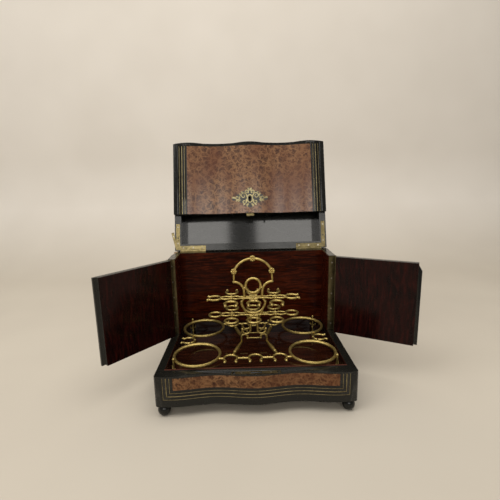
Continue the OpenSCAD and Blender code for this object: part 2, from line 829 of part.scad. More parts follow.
module panel_burr() {
  color(burr) on_panel() difference() {
    front_strip(-burr_half, burr_half, panel_z0, panel_burr_z1);
    shield_through(inlay_gap);
  }
}

module panel_stringing() {
  color(brass) on_panel() upright_lines(panel_line_z0, panel_line_z1);
}

module escutcheon() {
  color(brass) on_panel() difference() {
    intersection() {
      front_strip(-burr_half, burr_half, panel_z0, panel_burr_z1);
      shield_through();
    }
    keyhole(lock_y - front_y0);
  }
}

// The lock's case, let into the panel's lower edge, with the bolt's passage through it
module lock_case() {
  color(brass) on_panel() difference() {
    translate([-lock_w / 2, lock_y - lock_t / 2, panel_z0]) cube([lock_w, lock_t, lock_h]);
    translate([-bolt_w / 2 - 0.3, lock_y - 1.9, panel_z0 - 1])
      cube([bolt_w + 0.6, 3.8, 22 + bolt_throw]);
    keyhole(lock_y - front_y0);
  }
}

module lock_bolt() {
  color(brass) on_panel()
    translate([-bolt_w / 2, lock_y - 1.6, panel_z0 - bolt_throw])
      cube([bolt_w, 3.2, 20]);
}

module locating_pins() {
  color(steel) on_panel() for (s = [-1, 1])
    translate([s * locating_x, lock_y, panel_z0 - bolt_throw])
      cylinder(h = bolt_throw + 11, r = locating_r);
}

module panel_hinge_leaves() {
  web_h = panel_z1 - panel_axis[2] - 1;
  color(brass) on_panel() for (s = [-1, 1]) mirrored(s) {
    difference() {
      translate([panel_hinge_x - panel_hinge_l / 2, panel_leaf_y0, panel_z1 - panel_leaf_t])
        cube([panel_hinge_l, panel_leaf_y1 - panel_leaf_y0, panel_leaf_t]);
      at(panel_edge_points) screw_hole(panel_screw_r);
    }
    panel_knuckle(1, [panel_leaf_y1 - cut, panel_z1 - web_h, panel_axis[1] - panel_leaf_y1,
      web_h]);
  }
}

module panel_screws() {
  color(steel) on_panel() for (s = [-1, 1]) mirrored(s)
    at(panel_edge_points) screw(panel_screw_r);
}

// Side doors, drawn closed on the right and mirrored for the left

door_leaf_x = (half_w - door_t + door_axis_x - door_knuckle_r) / 2;
door_leaf_points = [for (z = door_screw_z) [door_leaf_x, door_back_y + leaf_t, z]];

module door_core() {
  difference() {
    union() {
      translate([half_w - door_t + lining_t, door_front_y, door_z0])
        cube([door_t - lining_t, door_back_y - door_front_y, door_z1 - door_z0]);
      translate([half_w - lip_t, lip_y, door_z0]) cube([lip_t, lip_l + 1, door_z1 - door_z0]);
    }
    at(door_leaf_points) rotate([-90, 0, 0]) screw_hole();
  }
}

module door_sheet() {
  translate([half_w - door_t, door_front_y, door_z0])
    cube([lining_t, door_back_y - door_front_y, door_z1 - door_z0]);
}

module door_leaf() {
  difference() {
    translate([half_w - door_t, door_back_y, door_z0])
      cube([leaf_edge_x - half_w + door_t, leaf_t, door_z1 - door_z0]);
    at(door_leaf_points) rotate([-90, 0, 0]) screw_hole();
  }
  upright_knuckles(door_knuckles, 1, door_knuckle_r, door_pin_r + cut);
}

module door_screws() {
  at(door_leaf_points) rotate([-90, 0, 0]) screw();
}

module left_door() {
  color(ebony) on_door(-1) mirrored(-1) door_core();
}
module left_door_lining() {
  color(rosewood) on_door(-1) mirrored(-1) door_sheet();
}
module left_door_leaf() {
  color(brass) on_door(-1) mirrored(-1) door_leaf();
}
module left_door_screws() {
  color(steel) on_door(-1) mirrored(-1) door_screws();
}

// The right door has lost the upper end of its lip
module right_door() {
  color(ebony) on_door(1) difference() {
    door_core();
    translate([half_w - lip_t - 1, 0, 0]) rotate([90, 0, 90]) linear_extrude(lip_t + 2)
      polygon([[lip_y - 1, door_z1 - lip_loss], [lip_y + 0.2, door_z1 - lip_loss],
        [door_front_y - 0.3, door_z1 - lip_loss / 3], [door_front_y - 0.3, door_z1 + 1],
        [lip_y - 1, door_z1 + 1]]);
  }
}
module right_door_lining() {
  color(rosewood) on_door(1) door_sheet();
}
module right_door_leaf() {
  color(brass) on_door(1) door_leaf();
}
module right_door_screws() {
  color(steel) on_door(1) door_screws();
}

// Rack. It is cast to suit its chest, so its sizes are given for one width and depth of the
// chest, and it takes its own size from the smaller of the two.

rack_for_w = 330;
rack_for_d = 240.5;
rack_scale = min(case_w / rack_for_w, case_d / rack_for_d);
rack_y = (tray_front_y + tray_back_y) / 2 - 3.25;

module rack_part() {
  color(gilt) translate([0, rack_y, floor_z]) scale(rack_scale)
    translate([0, 0, -floor_z]) children();
}

bar_t = 3.8;
ring_touch = ring_r + ring_wire_r + cut;
hook_reach = glass_r + bar_w / 2;
tip_r = 2.4;
bead_r = 2.8;

module decanter_ring() {
  rotate_extrude($fn = 96) translate([ring_r, 0]) circle(r = ring_wire_r, $fn = 24);
}

module front_decanter_rings() {
  rack_part() at([[-ring_x, -ring_y, ring_z], [ring_x, -ring_y, ring_z]]) decanter_ring();
}
module back_decanter_rings() {
  rack_part() at([[-ring_x, ring_y, ring_z], [ring_x, ring_y, ring_z]]) decanter_ring();
}

// A flat arc of the cast bar, from angle a0 to a1
module arc(r, a0, a1, w = bar_w) {
  far = 2 * r;
  steps = 6;
  intersection() {
    difference() {
      circle(r = r + w / 2);
      circle(r = r - w / 2);
    }
    polygon(concat([[0, 0]],
      [for (i = [0 : steps]) let (a = a0 + (a1 - a0) * i / steps) [far * cos(a), far * sin(a)]]));
  }
}

// A straight cast bar between two points
module bar(p, q, w = bar_w) {
  d = q - p;
  translate(p) rotate([0, 0, atan2(d[1], d[0])]) translate([0, -w / 2]) square([norm(d), w]);
}

// An open hook for a glass. Its mouth faces the direction given by turn.
module hook(turn) {
  half_mouth = 52;
  rotate([0, 0, turn]) {
    arc(glass_r, half_mouth, 360 - half_mouth);
    for (s = [-1, 1])
      translate([glass_r * cos(half_mouth), s * glass_r * sin(half_mouth)])
        circle(r = tip_r, $fn = 24);
  }
}

module closed_ring() {
  difference() {
    circle(r = glass_r + bar_w / 2);
    circle(r = glass_r - bar_w / 2);
  }
}

// The bar with three hooks that joins two decanter rings. Drawn for the front.
module hook_bar() {
  side = sqrt(ring_touch * ring_touch - pow(hook_y - ring_y, 2));
  end_x = ring_x - side + 1;
  translate([0, 0, ring_z - bar_t / 2]) linear_extrude(bar_t) difference() {
    union() {
      for (x = [-hook_pitch, 0, hook_pitch]) translate([x, -hook_y]) hook(-90);
      for (s = [-1, 1]) {
        bar([s * glass_r, -hook_y], [s * (hook_pitch - glass_r), -hook_y]);
        bar([s * (hook_pitch + glass_r), -hook_y], [s * end_x, -hook_y]);
      }
    }
    for (s = [-1, 1]) translate([s * ring_x, -ring_y]) circle(r = ring_touch, $fn = 96);
  }
}

module front_hook_bar() {
  rack_part() hook_bar();
}
module back_hook_bar() {
  rack_part() mirror([0, 1, 0]) hook_bar();
}

// One hook on each side, held between the front and the back decanter ring
module side_hooks() {
  link_x = side_hook_x - 5;
  rack_part() translate([0, 0, ring_z - bar_t / 2]) linear_extrude(bar_t)
    for (s = [-1, 1]) mirrored(s) difference() {
      union() {
        translate([side_hook_x, 0]) hook(0);
        for (t = [-1, 1])
          bar([link_x, t * (glass_r - 1)], [link_x, t * ring_y]);
      }
      for (t = [-1, 1]) translate([ring_x, t * ring_y]) circle(r = ring_touch, $fn = 96);
    }
}

// Stand: four arms from the hook bars to two upright scroll frames that carry the tiers
stand_y = 11;
arch_x = 18;
arch_r = 5.8;
arch_z = 9;
scroll_r = 7.8;
post_x = 6.5;
scroll_x = post_x + scroll_r;
scroll_z = arch_z + arch_r + scroll_r + 1.2;

// The upright frame, drawn in the plane of X and Z above the decanter rings
module scroll_frame() {
  post_top = lower_up - bar_t / 2;
  for (s = [-1, 1]) mirrored(s) {
    translate([arch_x, arch_z]) arc(arch_r, 0, 180);
    bar([arch_x + arch_r, -bar_t / 2], [arch_x + arch_r, arch_z]);
    translate([arch_x - arch_r, arch_z - 1.5]) circle(r = tip_r, $fn = 24);
    translate([scroll_x, scroll_z]) arc(scroll_r, 180, 360);
    translate([scroll_x + scroll_r, scroll_z + 1]) circle(r = tip_r, $fn = 24);
    bar([post_x, scroll_z], [post_x, post_top]);
  }
  bar([arch_r - arch_x, arch_z - 1.5], [arch_x - arch_r, arch_z - 1.5]);
}

module rack_stand() {
  foot = [arch_x + arch_r, -stand_y];
  hook_top = [hook_pitch, -hook_y];
  start = hook_top + (foot - hook_top) * (hook_reach + cut + 0.2) / norm(foot - hook_top);
  bead = start + (foot - start) * 0.24;
  rack_part() for (t = [0, 1]) mirror([0, t, 0]) {
    translate([0, bar_t / 2 - stand_y, ring_z]) rotate([90, 0, 0])
      linear_extrude(bar_t) scroll_frame();
    translate([0, 0, ring_z - bar_t / 2]) linear_extrude(bar_t)
      for (s = [-1, 1]) mirrored(s) {
        bar(start, foot);
        translate(bead) circle(r = bead_r, $fn = 24);
      }
  }
}

// Tiers. Two spine bars grip the handle, and each place for a glass hangs off them.
spine_y = handle_t / 2 + grip_gap + bar_w / 2;
split_x = 24;

module tier_side() {
  near = tier_end_x - sqrt(pow(glass_r, 2) - pow(spine_y, 2));
  for (t = [-1, 1]) {
    bar([split_x, t * spine_y], [near + 0.8, t * spine_y]);
    bar([tier_x, t * spine_y], [tier_x, t * (tier_y - glass_r)]);
  }
}

// One side of a tier, with hooks if it is open and with closed rings if not
module tier_side_shape(open) {
  difference() {
    union() {
      tier_side();
      if (open) {
        translate([tier_end_x, 0]) hook(0);
        for (t = [-1, 1]) translate([tier_x, t * tier_y]) hook(t * 90);
      } else {
        translate([tier_end_x, 0]) closed_ring();
        for (t = [-1, 1]) translate([tier_x, t * tier_y]) closed_ring();
      }
    }
    translate([tier_end_x, 0]) circle(r = glass_r - bar_w / 2);
  }
}

module tier_centre_shape(open) {
  for (t = [-1, 1]) {
    bar([-split_x, t * spine_y], [split_x, t * spine_y]);
    bar([0, t * spine_y], [0, t * (tier_y - glass_r)]);
    bar([-post_x - bar_w / 2, t * stand_y], [post_x + bar_w / 2, t * stand_y]);
    translate([0, t * tier_y]) {
      if (open) hook(t * 90);
      else closed_ring();
    }
  }
}

module tier(z, s, open) {
  rack_part() translate([0, 0, z - bar_t / 2]) linear_extrude(bar_t)
    if (s == 0) tier_centre_shape(open);
    else mirrored(s) tier_side_shape(open);
}

module lower_tier_left() {
  tier(lower_z, -1, false);
}
module lower_tier_centre() {
  tier(lower_z, 0, false);
}
module lower_tier_right() {
  tier(lower_z, 1, false);
}
module upper_tier_left() {
  tier(upper_z, -1, true);
}
module upper_tier_centre() {
  tier(upper_z, 0, true);
}
module upper_tier_right() {
  tier(upper_z, 1, true);
}

// Handle, drawn in the plane of X and Z with the upper tier at zero height
crown_r = 37.5;
rosette_x = 35;
rosette_r = 6.2;
rosette_up = handle_up - crown_r + sqrt(pow(crown_r, 2) - pow(rosette_x, 2));
shoulder_up = 30.5;
sweep_r = 19;
waist_x = 17;
kink_x = 22.3;
kink_up = -8.5;
bowl_r = kink_x;
loop_r = 13.9;
loop_up = 23;
toe_x = 9.5;
toe_up = kink_up - bowl_r - 12;

module handle_half() {
  crown = atan2(rosette_up - handle_up + crown_r, rosette_x);
  translate([0, handle_up - crown_r]) arc(crown_r, crown, 92, handle_t);
  bar([rosette_x, rosette_up], [rosette_x + 1, shoulder_up], handle_t);
  translate([waist_x + sweep_r, shoulder_up - sweep_r]) arc(sweep_r, 88, 180, handle_t);
  bar([waist_x, shoulder_up - sweep_r], [waist_x - 0.8, 0.5], handle_t);
  bar([waist_x - 1.2, 1], [kink_x + 0.4, kink_up - 0.5], handle_t);
  translate([0, kink_up]) arc(bowl_r, -92, 0, handle_t);
  bar([kink_x - 1, kink_up - 6], [toe_x, toe_up], handle_t);
  translate([toe_x - 1, toe_up]) circle(r = tip_r, $fn = 24);
  translate([rosette_x, rosette_up]) circle(r = rosette_r - 0.6);
  translate([waist_x - 1.2, loop_up - 4.5]) circle(r = bead_r, $fn = 24);
}

module rack_handle() {
  rosette_t = handle_t + 1.4;
  rack_part() {
    translate([0, handle_t / 2, upper_z]) rotate([90, 0, 0]) linear_extrude(handle_t) {
      handle_half();
      mirror([1, 0]) handle_half();
      translate([0, loop_up]) difference() {
        circle(r = loop_r + handle_t / 2);
        circle(r = loop_r - handle_t / 2);
      }
    }
    for (p = [[0, handle_up], [-rosette_x, rosette_up], [rosette_x, rosette_up]])
      translate([p[0], rosette_t / 2, upper_z + p[1]]) rotate([90, 0, 0])
        cylinder(h = rosette_t, r = rosette_r);
  }
}

// Legs that carry the decanter rings clear of the tray's floor
leg_r = 2;
front_leg_turn = 33;
back_leg_turn = 50;

module leg() {
  z0 = floor_z + foot_gap;
  curl_z = ring_z - 11;
  curl_r = 3.2;
  translate([0, 0, z0]) cylinder(h = ring_z + 5 - z0, r = leg_r, $fn = 24);
  translate([0, 0, ring_z + 5.5]) sphere(r = 2.4, $fn = 24);
  translate([0, 0, z0]) cylinder(h = 2, r = 3.2, $fn = 24);
  for (s = [-1, 1]) mirrored(s)
    translate([curl_r, 0, curl_z]) rotate([90, 0, 0])
      translate([0, 0, -leg_r * 0.7]) linear_extrude(1.4 * leg_r) arc(curl_r, 150, 350, 2);
}

module rack_legs() {
  d = ring_touch + leg_r;
  rack_part() for (s = [-1, 1]) mirrored(s) {
    translate([ring_x + d * cos(front_leg_turn), -ring_y - d * sin(front_leg_turn), 0])
      rotate([0, 0, -front_leg_turn + 90]) leg();
    translate([ring_x + d * cos(back_leg_turn), ring_y + d * sin(back_leg_turn), 0])
      rotate([0, 0, back_leg_turn + 90]) leg();
  }
}

front_rail();
base_rails();
bottom_board();
floor_bearers();
tray_board();
tray_lining();
base_burr();
base_stringing();
feet();
back_board();
compartment_lining();
left_return();
right_return();
left_fixed_leaf();
right_fixed_leaf();
hinge_pins();
lid_hinge_case_leaves();
strike_plate();
case_screws();
lid_rails();
lid_board();
lid_lining();
lid_burr();
lid_stringing();
lid_hinge_plates();
loose_hinge_arm();
panel_hinge_lid_leaves();
panel_hinge_pins();
lid_screws();
front_panel();
panel_burr();
panel_stringing();
escutcheon();
lock_case();
lock_bolt();
locating_pins();
panel_hinge_leaves();
panel_screws();
left_door();
left_door_lining();
left_door_leaf();
left_door_screws();
right_door();
right_door_lining();
right_door_leaf();
right_door_screws();
front_decanter_rings();
back_decanter_rings();
front_hook_bar();
back_hook_bar();
side_hooks();
rack_stand();
lower_tier_left();
lower_tier_centre();
lower_tier_right();
upper_tier_left();
upper_tier_centre();
upper_tier_right();
rack_handle();
rack_legs();
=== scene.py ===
# %% [markdown]
# # An antique liqueur chest, standing open
#
# The chest is a tray on bun feet with a fixed back, two side doors, a lid that leans back, and a
# front panel folded on the lid's rim. A gilt rack stands in the tray. The frame that is loaded here
# holds every piece at its real place and size, in metres, and says which body each one moves with.
# This script gives each surface its finish, and remakes the pieces whose charm is in their round
# and worn shapes: the wires of the rack, the screws, the inlaid shield and the softened wood.

import json
import math

import bmesh
import bpy
import numpy as np
from mathutils import Matrix, Vector


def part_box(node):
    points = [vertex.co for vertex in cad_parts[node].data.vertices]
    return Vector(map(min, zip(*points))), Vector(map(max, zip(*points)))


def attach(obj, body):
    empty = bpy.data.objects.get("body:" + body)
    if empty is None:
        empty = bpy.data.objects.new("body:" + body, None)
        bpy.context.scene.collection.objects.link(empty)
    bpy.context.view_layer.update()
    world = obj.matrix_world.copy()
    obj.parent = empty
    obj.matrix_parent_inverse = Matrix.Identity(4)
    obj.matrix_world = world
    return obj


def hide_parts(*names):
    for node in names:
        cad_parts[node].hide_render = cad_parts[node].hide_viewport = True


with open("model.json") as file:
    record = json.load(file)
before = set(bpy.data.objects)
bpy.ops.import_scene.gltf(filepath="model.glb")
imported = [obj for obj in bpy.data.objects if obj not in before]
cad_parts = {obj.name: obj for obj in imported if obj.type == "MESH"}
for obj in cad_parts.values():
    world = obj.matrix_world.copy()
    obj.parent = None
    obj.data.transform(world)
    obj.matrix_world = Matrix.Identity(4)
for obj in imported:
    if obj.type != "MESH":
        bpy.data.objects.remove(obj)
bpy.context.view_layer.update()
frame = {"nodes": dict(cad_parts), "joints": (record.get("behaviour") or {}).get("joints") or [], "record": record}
body_of = {n: b for b, names in frame["record"]["behaviour"]["bodies"].items() for n in names}
slot_of = {p["node"]: p["material_slot"] for p in frame["record"]["subparts"]}

# %% [markdown]
# ## Measures
#
# The front of the chest is one wave that runs through the tray, the panel and the lid. The same
# formula gives it here as in the solids, so that thin inlay can lie on it. The lid and the panel
# were drawn closed and turned into place, so a matrix for each takes a closed place to the open one.

# %% Measures of the chest
MM = 0.001
half_w = 165 * MM
inner_half = 153 * MM
front_y0 = -120.25 * MM
back_y = 120.25 * MM
wave_depth = 6.4 * MM
wave_pitch = 136 * MM
rim_z = 73.3 * MM
top_z = 229.3 * MM
lid_z = top_z + 0.2 * MM
lid_top = lid_z + 56 * MM
panel_z0 = rim_z + 0.4 * MM
keyhole_z = panel_z0 + 33 * MM
floor_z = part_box("tray_board")[1].z
ring_z = floor_z + 33.4 * MM
lower_z = ring_z + 51 * MM
upper_z = lower_z + 32.5 * MM


def front_y(x):
    """The front's surface at a distance x from the middle."""
    return front_y0 + wave_depth * (1 - math.cos(2 * math.pi * x / wave_pitch)) / 2


print("tray's floor at", round(floor_z / MM, 1), "mm")

# %% Poses of the moving wood
joint = {j["name"]: j for j in frame["joints"]}
lid_open, panel_fold, left_open, right_open = -105.5, 90, -40, 62


def turned(pivot, axis, degrees):
    """The matrix that turns about a line through pivot."""
    there = Matrix.Translation(Vector(pivot))
    return there @ Matrix.Rotation(math.radians(degrees), 4, axis) @ there.inverted()


lid_pose = turned(joint["lid_hinge"]["pos_m"], "X", lid_open)
panel_pivot = lid_pose.inverted() @ Vector(joint["front_panel_hinge"]["pos_m"])
panel_pose = lid_pose @ turned(panel_pivot, "X", panel_fold)
left_pose = turned(joint["left_door_hinge"]["pos_m"], "Z", left_open)
right_pose = turned(joint["right_door_hinge"]["pos_m"], "Z", right_open)
still = Matrix.Identity(4)
pose_of = {"lid": lid_pose, "panel": panel_pose, "bolt": panel_pose}
pose_of.update(left_side_door=left_pose, right_side_door=right_pose)
print("closed panel hangs at", [round(v / MM, 1) for v in panel_pivot])

# %% [markdown]
# ## The camera
#
# The photograph was taken from a little above, close to the chest, with a wide lens. The place, the
# tilt and the lens below were found by matching the chest's corners, and then rounded.

# %% Camera
camera_place = Vector((-0.0137, -0.6397, 0.3809))
pitch, yaw, roll = (math.radians(a) for a in (11.32, 0.85, 1.23))
forward = Vector((math.sin(yaw) * math.cos(pitch), math.cos(yaw) * math.cos(pitch), -math.sin(pitch)))
level = Vector((math.cos(yaw), -math.sin(yaw), 0))
down = forward.cross(level)
image_right = math.cos(roll) * level + math.sin(roll) * down
image_up = math.sin(roll) * level - math.cos(roll) * down
camera = bpy.data.objects.new("camera", bpy.data.cameras.new("camera"))
bpy.context.scene.collection.objects.link(camera)
turn = Matrix((image_right, image_up, -forward)).transposed()
camera.matrix_world = Matrix.Translation(camera_place) @ turn.to_4x4()
camera.data.sensor_width = 36
camera.data.lens = 25.7
bpy.context.scene.camera = camera
print("lens", camera.data.lens, "mm")

# %% [markdown]
# ## Helpers for building materials
#
# A node tree in code is easier to read when adding a node and wiring it is one line. `add` makes a
# node and fills its sockets, and a value that is itself a socket is linked instead of copied.

# %% Node helpers


def fill(tree, socket, value):
    """Links a socket to another one, or sets it to a plain value."""
    if isinstance(value, bpy.types.NodeSocket):
        tree.links.new(value, socket)
    else:
        socket.default_value = value


def add(tree, kind, outlet=0, settings=(), **inputs):
    """Adds a node, sets its settings and inputs, and returns one of its outputs.

    An input is given by its name, or by its place as i0, i1 and so on.
    """
    made = tree.nodes.new(kind)
    for key, value in dict(settings).items():
        setattr(made, key, value)
    for key, value in inputs.items():
        numbered = key[0] == "i" and key[1:].isdigit()
        fill(tree, made.inputs[int(key[1:]) if numbered else key], value)
    return made.outputs[outlet]


def calc(tree, operation, *values, clamp=False):
    """A Math node on numbers or sockets."""
    inputs = {f"i{i}": v for i, v in enumerate(values)}
    return add(tree, "ShaderNodeMath", settings={"operation": operation, "use_clamp": clamp}, **inputs)


def move(tree, operation, *values):
    """A Vector Math node on vectors or sockets."""
    inputs = {f"i{i}": v for i, v in enumerate(values)}
    return add(tree, "ShaderNodeVectorMath", settings={"operation": operation}, **inputs)


def stretch(tree, vector, scale):
    """The vector with each of its three parts scaled."""
    return move(tree, "MULTIPLY", vector, scale)


def noise(tree, vector, scale, detail=4.0, roughness=0.55, distortion=0.0, outlet=0):
    """A Noise texture. Outlet 0 is its grey value and outlet 1 its colour."""
    return add(tree, "ShaderNodeTexNoise", outlet=outlet, Vector=vector, Scale=scale,
               Detail=detail, Roughness=roughness, Distortion=distortion)


def ramp(tree, factor, *stops):
    """A colour ramp. Each stop is a place and a colour, or a place and a grey."""
    made = tree.nodes.new("ShaderNodeValToRGB")
    tree.links.new(factor, made.inputs["Fac"])
    stops = [(p, (c, c, c) if isinstance(c, (int, float)) else c) for p, c in stops]
    while len(made.color_ramp.elements) < len(stops):
        made.color_ramp.elements.new(0.5)
    for element, (place, colour) in zip(made.color_ramp.elements, stops):
        element.position = place
        element.color = (*colour, 1)
    return made.outputs["Color"]


def blend(tree, factor, first, second):
    """Mixes two colours. Sockets 6 and 7 and output 2 are those of a Mix node set to colour."""
    made = tree.nodes.new("ShaderNodeMix")
    made.data_type = "RGBA"
    for place, value in ((0, factor), (6, first), (7, second)):
        fill(tree, made.inputs[place], (*value, 1) if isinstance(value, tuple) else value)
    return made.outputs[2]


def new_group(name, inputs, outputs):
    """An empty shader node group with named inputs and outputs."""
    tree = bpy.data.node_groups.new(name, "ShaderNodeTree")
    for socket_name, kind, value in inputs:
        socket = tree.interface.new_socket(socket_name, in_out="INPUT", socket_type=kind)
        if value is not None:
            socket.default_value = value
    for socket_name, kind in outputs:
        tree.interface.new_socket(socket_name, in_out="OUTPUT", socket_type=kind)
    return tree, tree.nodes.new("NodeGroupInput").outputs, tree.nodes.new("NodeGroupOutput").inputs


def use_group(tree, group, **inputs):
    """Places a group in a tree, and returns its first output."""
    return add(tree, "ShaderNodeGroup", settings={"node_tree": group}, **inputs)


NUMBER, VECTOR = "NodeSocketFloat", "NodeSocketVector"
print("node helpers ready")

# %% [markdown]
# ## Effects that several finishes share
#
# Old polish is never even. Five effects do most of the work: a mask of edges and corners, where a rounded
# normal differs from the flat one, which on the black wood paints a grey sheen along the edges as well as
# their wear; long fibres of grain; a figure of burr; the dull smears that hands and dusters leave; and dust
# on what faces up. Each is a group that gives one or more masks, and each finish uses them in its own measure.

# %% Edges and corners, with a painted sheen
bevel_samples, edge_gain = 4, 6.0
# On the ebonised wood this mask paints a grey sheen along the edges as well as their wear; on metal it marks the
# corners where tarnish lies.
edge_group, gi, go = new_group(
    "edge and corner mask", [("Vector", VECTOR, None), ("Width", NUMBER, 1.2 * MM), ("Patchiness", NUMBER, 0.5)],
    [("Mask", NUMBER)])
soft_normal = add(edge_group, "ShaderNodeBevel", settings={"samples": bevel_samples}, Radius=gi["Width"])
hard_normal = add(edge_group, "ShaderNodeNewGeometry", outlet="Normal")
likeness = move(edge_group, "DOT_PRODUCT", soft_normal, hard_normal).node.outputs["Value"]
edge_strength = calc(edge_group, "MULTIPLY", calc(edge_group, "SUBTRACT", 1.0, likeness), edge_gain, clamp=True)
patches = noise(edge_group, gi["Vector"], 90.0, 3.0)
kept = calc(edge_group, "SUBTRACT", 1.0, calc(edge_group, "MULTIPLY", patches, gi["Patchiness"]))
edge_group.links.new(calc(edge_group, "MULTIPLY", edge_strength, kept), go["Mask"])
print(edge_group.name, "made")

# %% Grain of straight wood
middle_grey = (0.5, 0.5, 0.5)
pore_size, pore_share = 1.6, 0.62
grain_group, gi, go = new_group(
    "straight grain", [("Vector", VECTOR, None), ("Along", VECTOR, (1, 12, 12)), ("Scale", NUMBER, 30.0)],
    [("Streaks", NUMBER), ("Pores", NUMBER)])
bend = noise(grain_group, gi["Vector"], 9.0, 2.0, outlet=1)
sway = move(grain_group, "SUBTRACT", bend, middle_grey)
bent = move(grain_group, "ADD", gi["Vector"], stretch(grain_group, sway, (0.02, 0.012, 0.012)))
lengthened = move(grain_group, "MULTIPLY", bent, gi["Along"])
streaks = noise(grain_group, lengthened, gi["Scale"], 6.0, 0.62, 0.4)
pore_noise = noise(grain_group, move(grain_group, "MULTIPLY", lengthened, gi["Along"]),
                   calc(grain_group, "MULTIPLY", gi["Scale"], pore_size), 3.0, 0.5)
pores = calc(grain_group, "GREATER_THAN", pore_noise, pore_share)
grain_group.links.new(streaks, go["Streaks"])
grain_group.links.new(pores, go["Pores"])
print(grain_group.name, "made")

# %% Figure of burr
burr_group, gi, go = new_group(
    "burr figure", [("Vector", VECTOR, None), ("Scale", NUMBER, 1.0)],
    [("Veins", NUMBER), ("Eyes", NUMBER), ("Clusters", NUMBER), ("Grit", NUMBER)])
scaled = add(burr_group, "ShaderNodeVectorMath", settings={"operation": "SCALE"},
             Vector=gi["Vector"], Scale=gi["Scale"])
swirl = noise(burr_group, scaled, 60.0, 3.0, 0.6, outlet=1)
whirl = move(burr_group, "SUBTRACT", swirl, middle_grey)
swirled = move(burr_group, "ADD", scaled, stretch(burr_group, whirl, (0.03, 0.03, 0.03)))


def cells(feature, scale):
    """Distances in a pattern of cells, from their middles (F1) or from their edges."""
    return add(burr_group, "ShaderNodeTexVoronoi", outlet="Distance", settings={"feature": feature},
               Vector=swirled, Scale=scale, Randomness=1.0)


eye_scale, small_scale = 78.0, 170.0
cell_edge = cells("DISTANCE_TO_EDGE", eye_scale)
cell_middle = cells("F1", eye_scale)
small_edge = cells("DISTANCE_TO_EDGE", small_scale)
veins = calc(burr_group, "MAXIMUM", ramp(burr_group, cell_edge, (0.02, 1.0), (0.14, 0.0)),
             ramp(burr_group, small_edge, (0.0, 0.5), (0.12, 0.0)))
eye_rings = calc(burr_group, "SINE", calc(burr_group, "MULTIPLY", cell_middle, 34.0))
eyes = calc(burr_group, "MULTIPLY", ramp(burr_group, cell_middle, (0.06, 1.0), (0.52, 0.0)),
            calc(burr_group, "MULTIPLY_ADD", eye_rings, 0.3, 0.7))
clusters = ramp(burr_group, noise(burr_group, scaled, 26.0, 3.0, 0.6), (0.40, 0.0), (0.62, 1.0))
grit = noise(burr_group, swirled, 150.0, 5.0, 0.7)
for socket, value in (("Veins", veins), ("Eyes", eyes), ("Clusters", clusters), ("Grit", grit)):
    burr_group.links.new(value, go[socket])
print(burr_group.name, "made")

# %% Smears and dust
smear_group, gi, go = new_group(
    "smears", [("Vector", VECTOR, None), ("Size", NUMBER, 14.0)], [("Mask", NUMBER)])
long_smear = noise(smear_group, stretch(smear_group, gi["Vector"], (1, 1, 2.5)), gi["Size"], 4.0, 0.6, 1.5)
fine_smear = noise(smear_group, gi["Vector"], calc(smear_group, "MULTIPLY", gi["Size"], 9.0), 2.0)
smear = calc(smear_group, "MULTIPLY", long_smear, fine_smear)
smear_group.links.new(ramp(smear_group, smear, (0.16, 0.0), (0.42, 1.0)), go["Mask"])

dust_group, gi, go = new_group(
    "dust", [("Vector", VECTOR, None), ("Amount", NUMBER, 0.3)], [("Mask", NUMBER)])
facing = add(dust_group, "ShaderNodeNewGeometry", outlet="Normal")
upward = add(dust_group, "ShaderNodeSeparateXYZ", outlet="Z", Vector=facing)
specks = noise(dust_group, gi["Vector"], 700.0, 2.0)
film = noise(dust_group, gi["Vector"], 25.0, 3.0)
lying = calc(dust_group, "MULTIPLY", calc(dust_group, "MAXIMUM", upward, 0.0), gi["Amount"])
dust_group.links.new(calc(dust_group, "MULTIPLY", lying, calc(dust_group, "ADD", specks, film)), go["Mask"])
print(smear_group.name, "and", dust_group.name, "made")

# %% [markdown]
# ## Wood finishes
#
# Each finish is one material around a Principled shader. Polished wood has two layers: the colour
# lies deep, and a thin coat above it gives the sharp reflections. The roughness is patchy, because
# an even mirror would look like plastic.

# %% Start of every material


def new_finish(name, **even):
    """A material, its tree, its shader and its Object coordinates. `even` fills plain sockets."""
    material = bpy.data.materials.new(name)
    material.use_nodes = True
    tree = material.node_tree
    shader = tree.nodes["Principled BSDF"]
    for key, value in even.items():
        shader.inputs[key.replace("_", " ")].default_value = value
    place = add(tree, "ShaderNodeTexCoord", outlet="Object")
    return material, tree, shader, place


def finish_with(tree, shader, colour, roughness=None, height=None, depth=0.2 * MM):
    """Links a colour to the shader, and a roughness and a relief if they are given."""
    tree.links.new(colour, shader.inputs["Base Color"])
    if roughness is not None:
        tree.links.new(roughness, shader.inputs["Roughness"])
    if height is not None:
        bump = add(tree, "ShaderNodeBump", Height=height, Distance=depth, Strength=0.6)
        tree.links.new(bump, shader.inputs["Normal"])


def spread(tree, mask, low, high):
    """A mask from 0 to 1 made to run from low to high."""
    return add(tree, "ShaderNodeMapRange", Value=mask, i3=low, i4=high)


print("finishes start from", len(bpy.data.node_groups), "groups")

# %% Ebonised wood


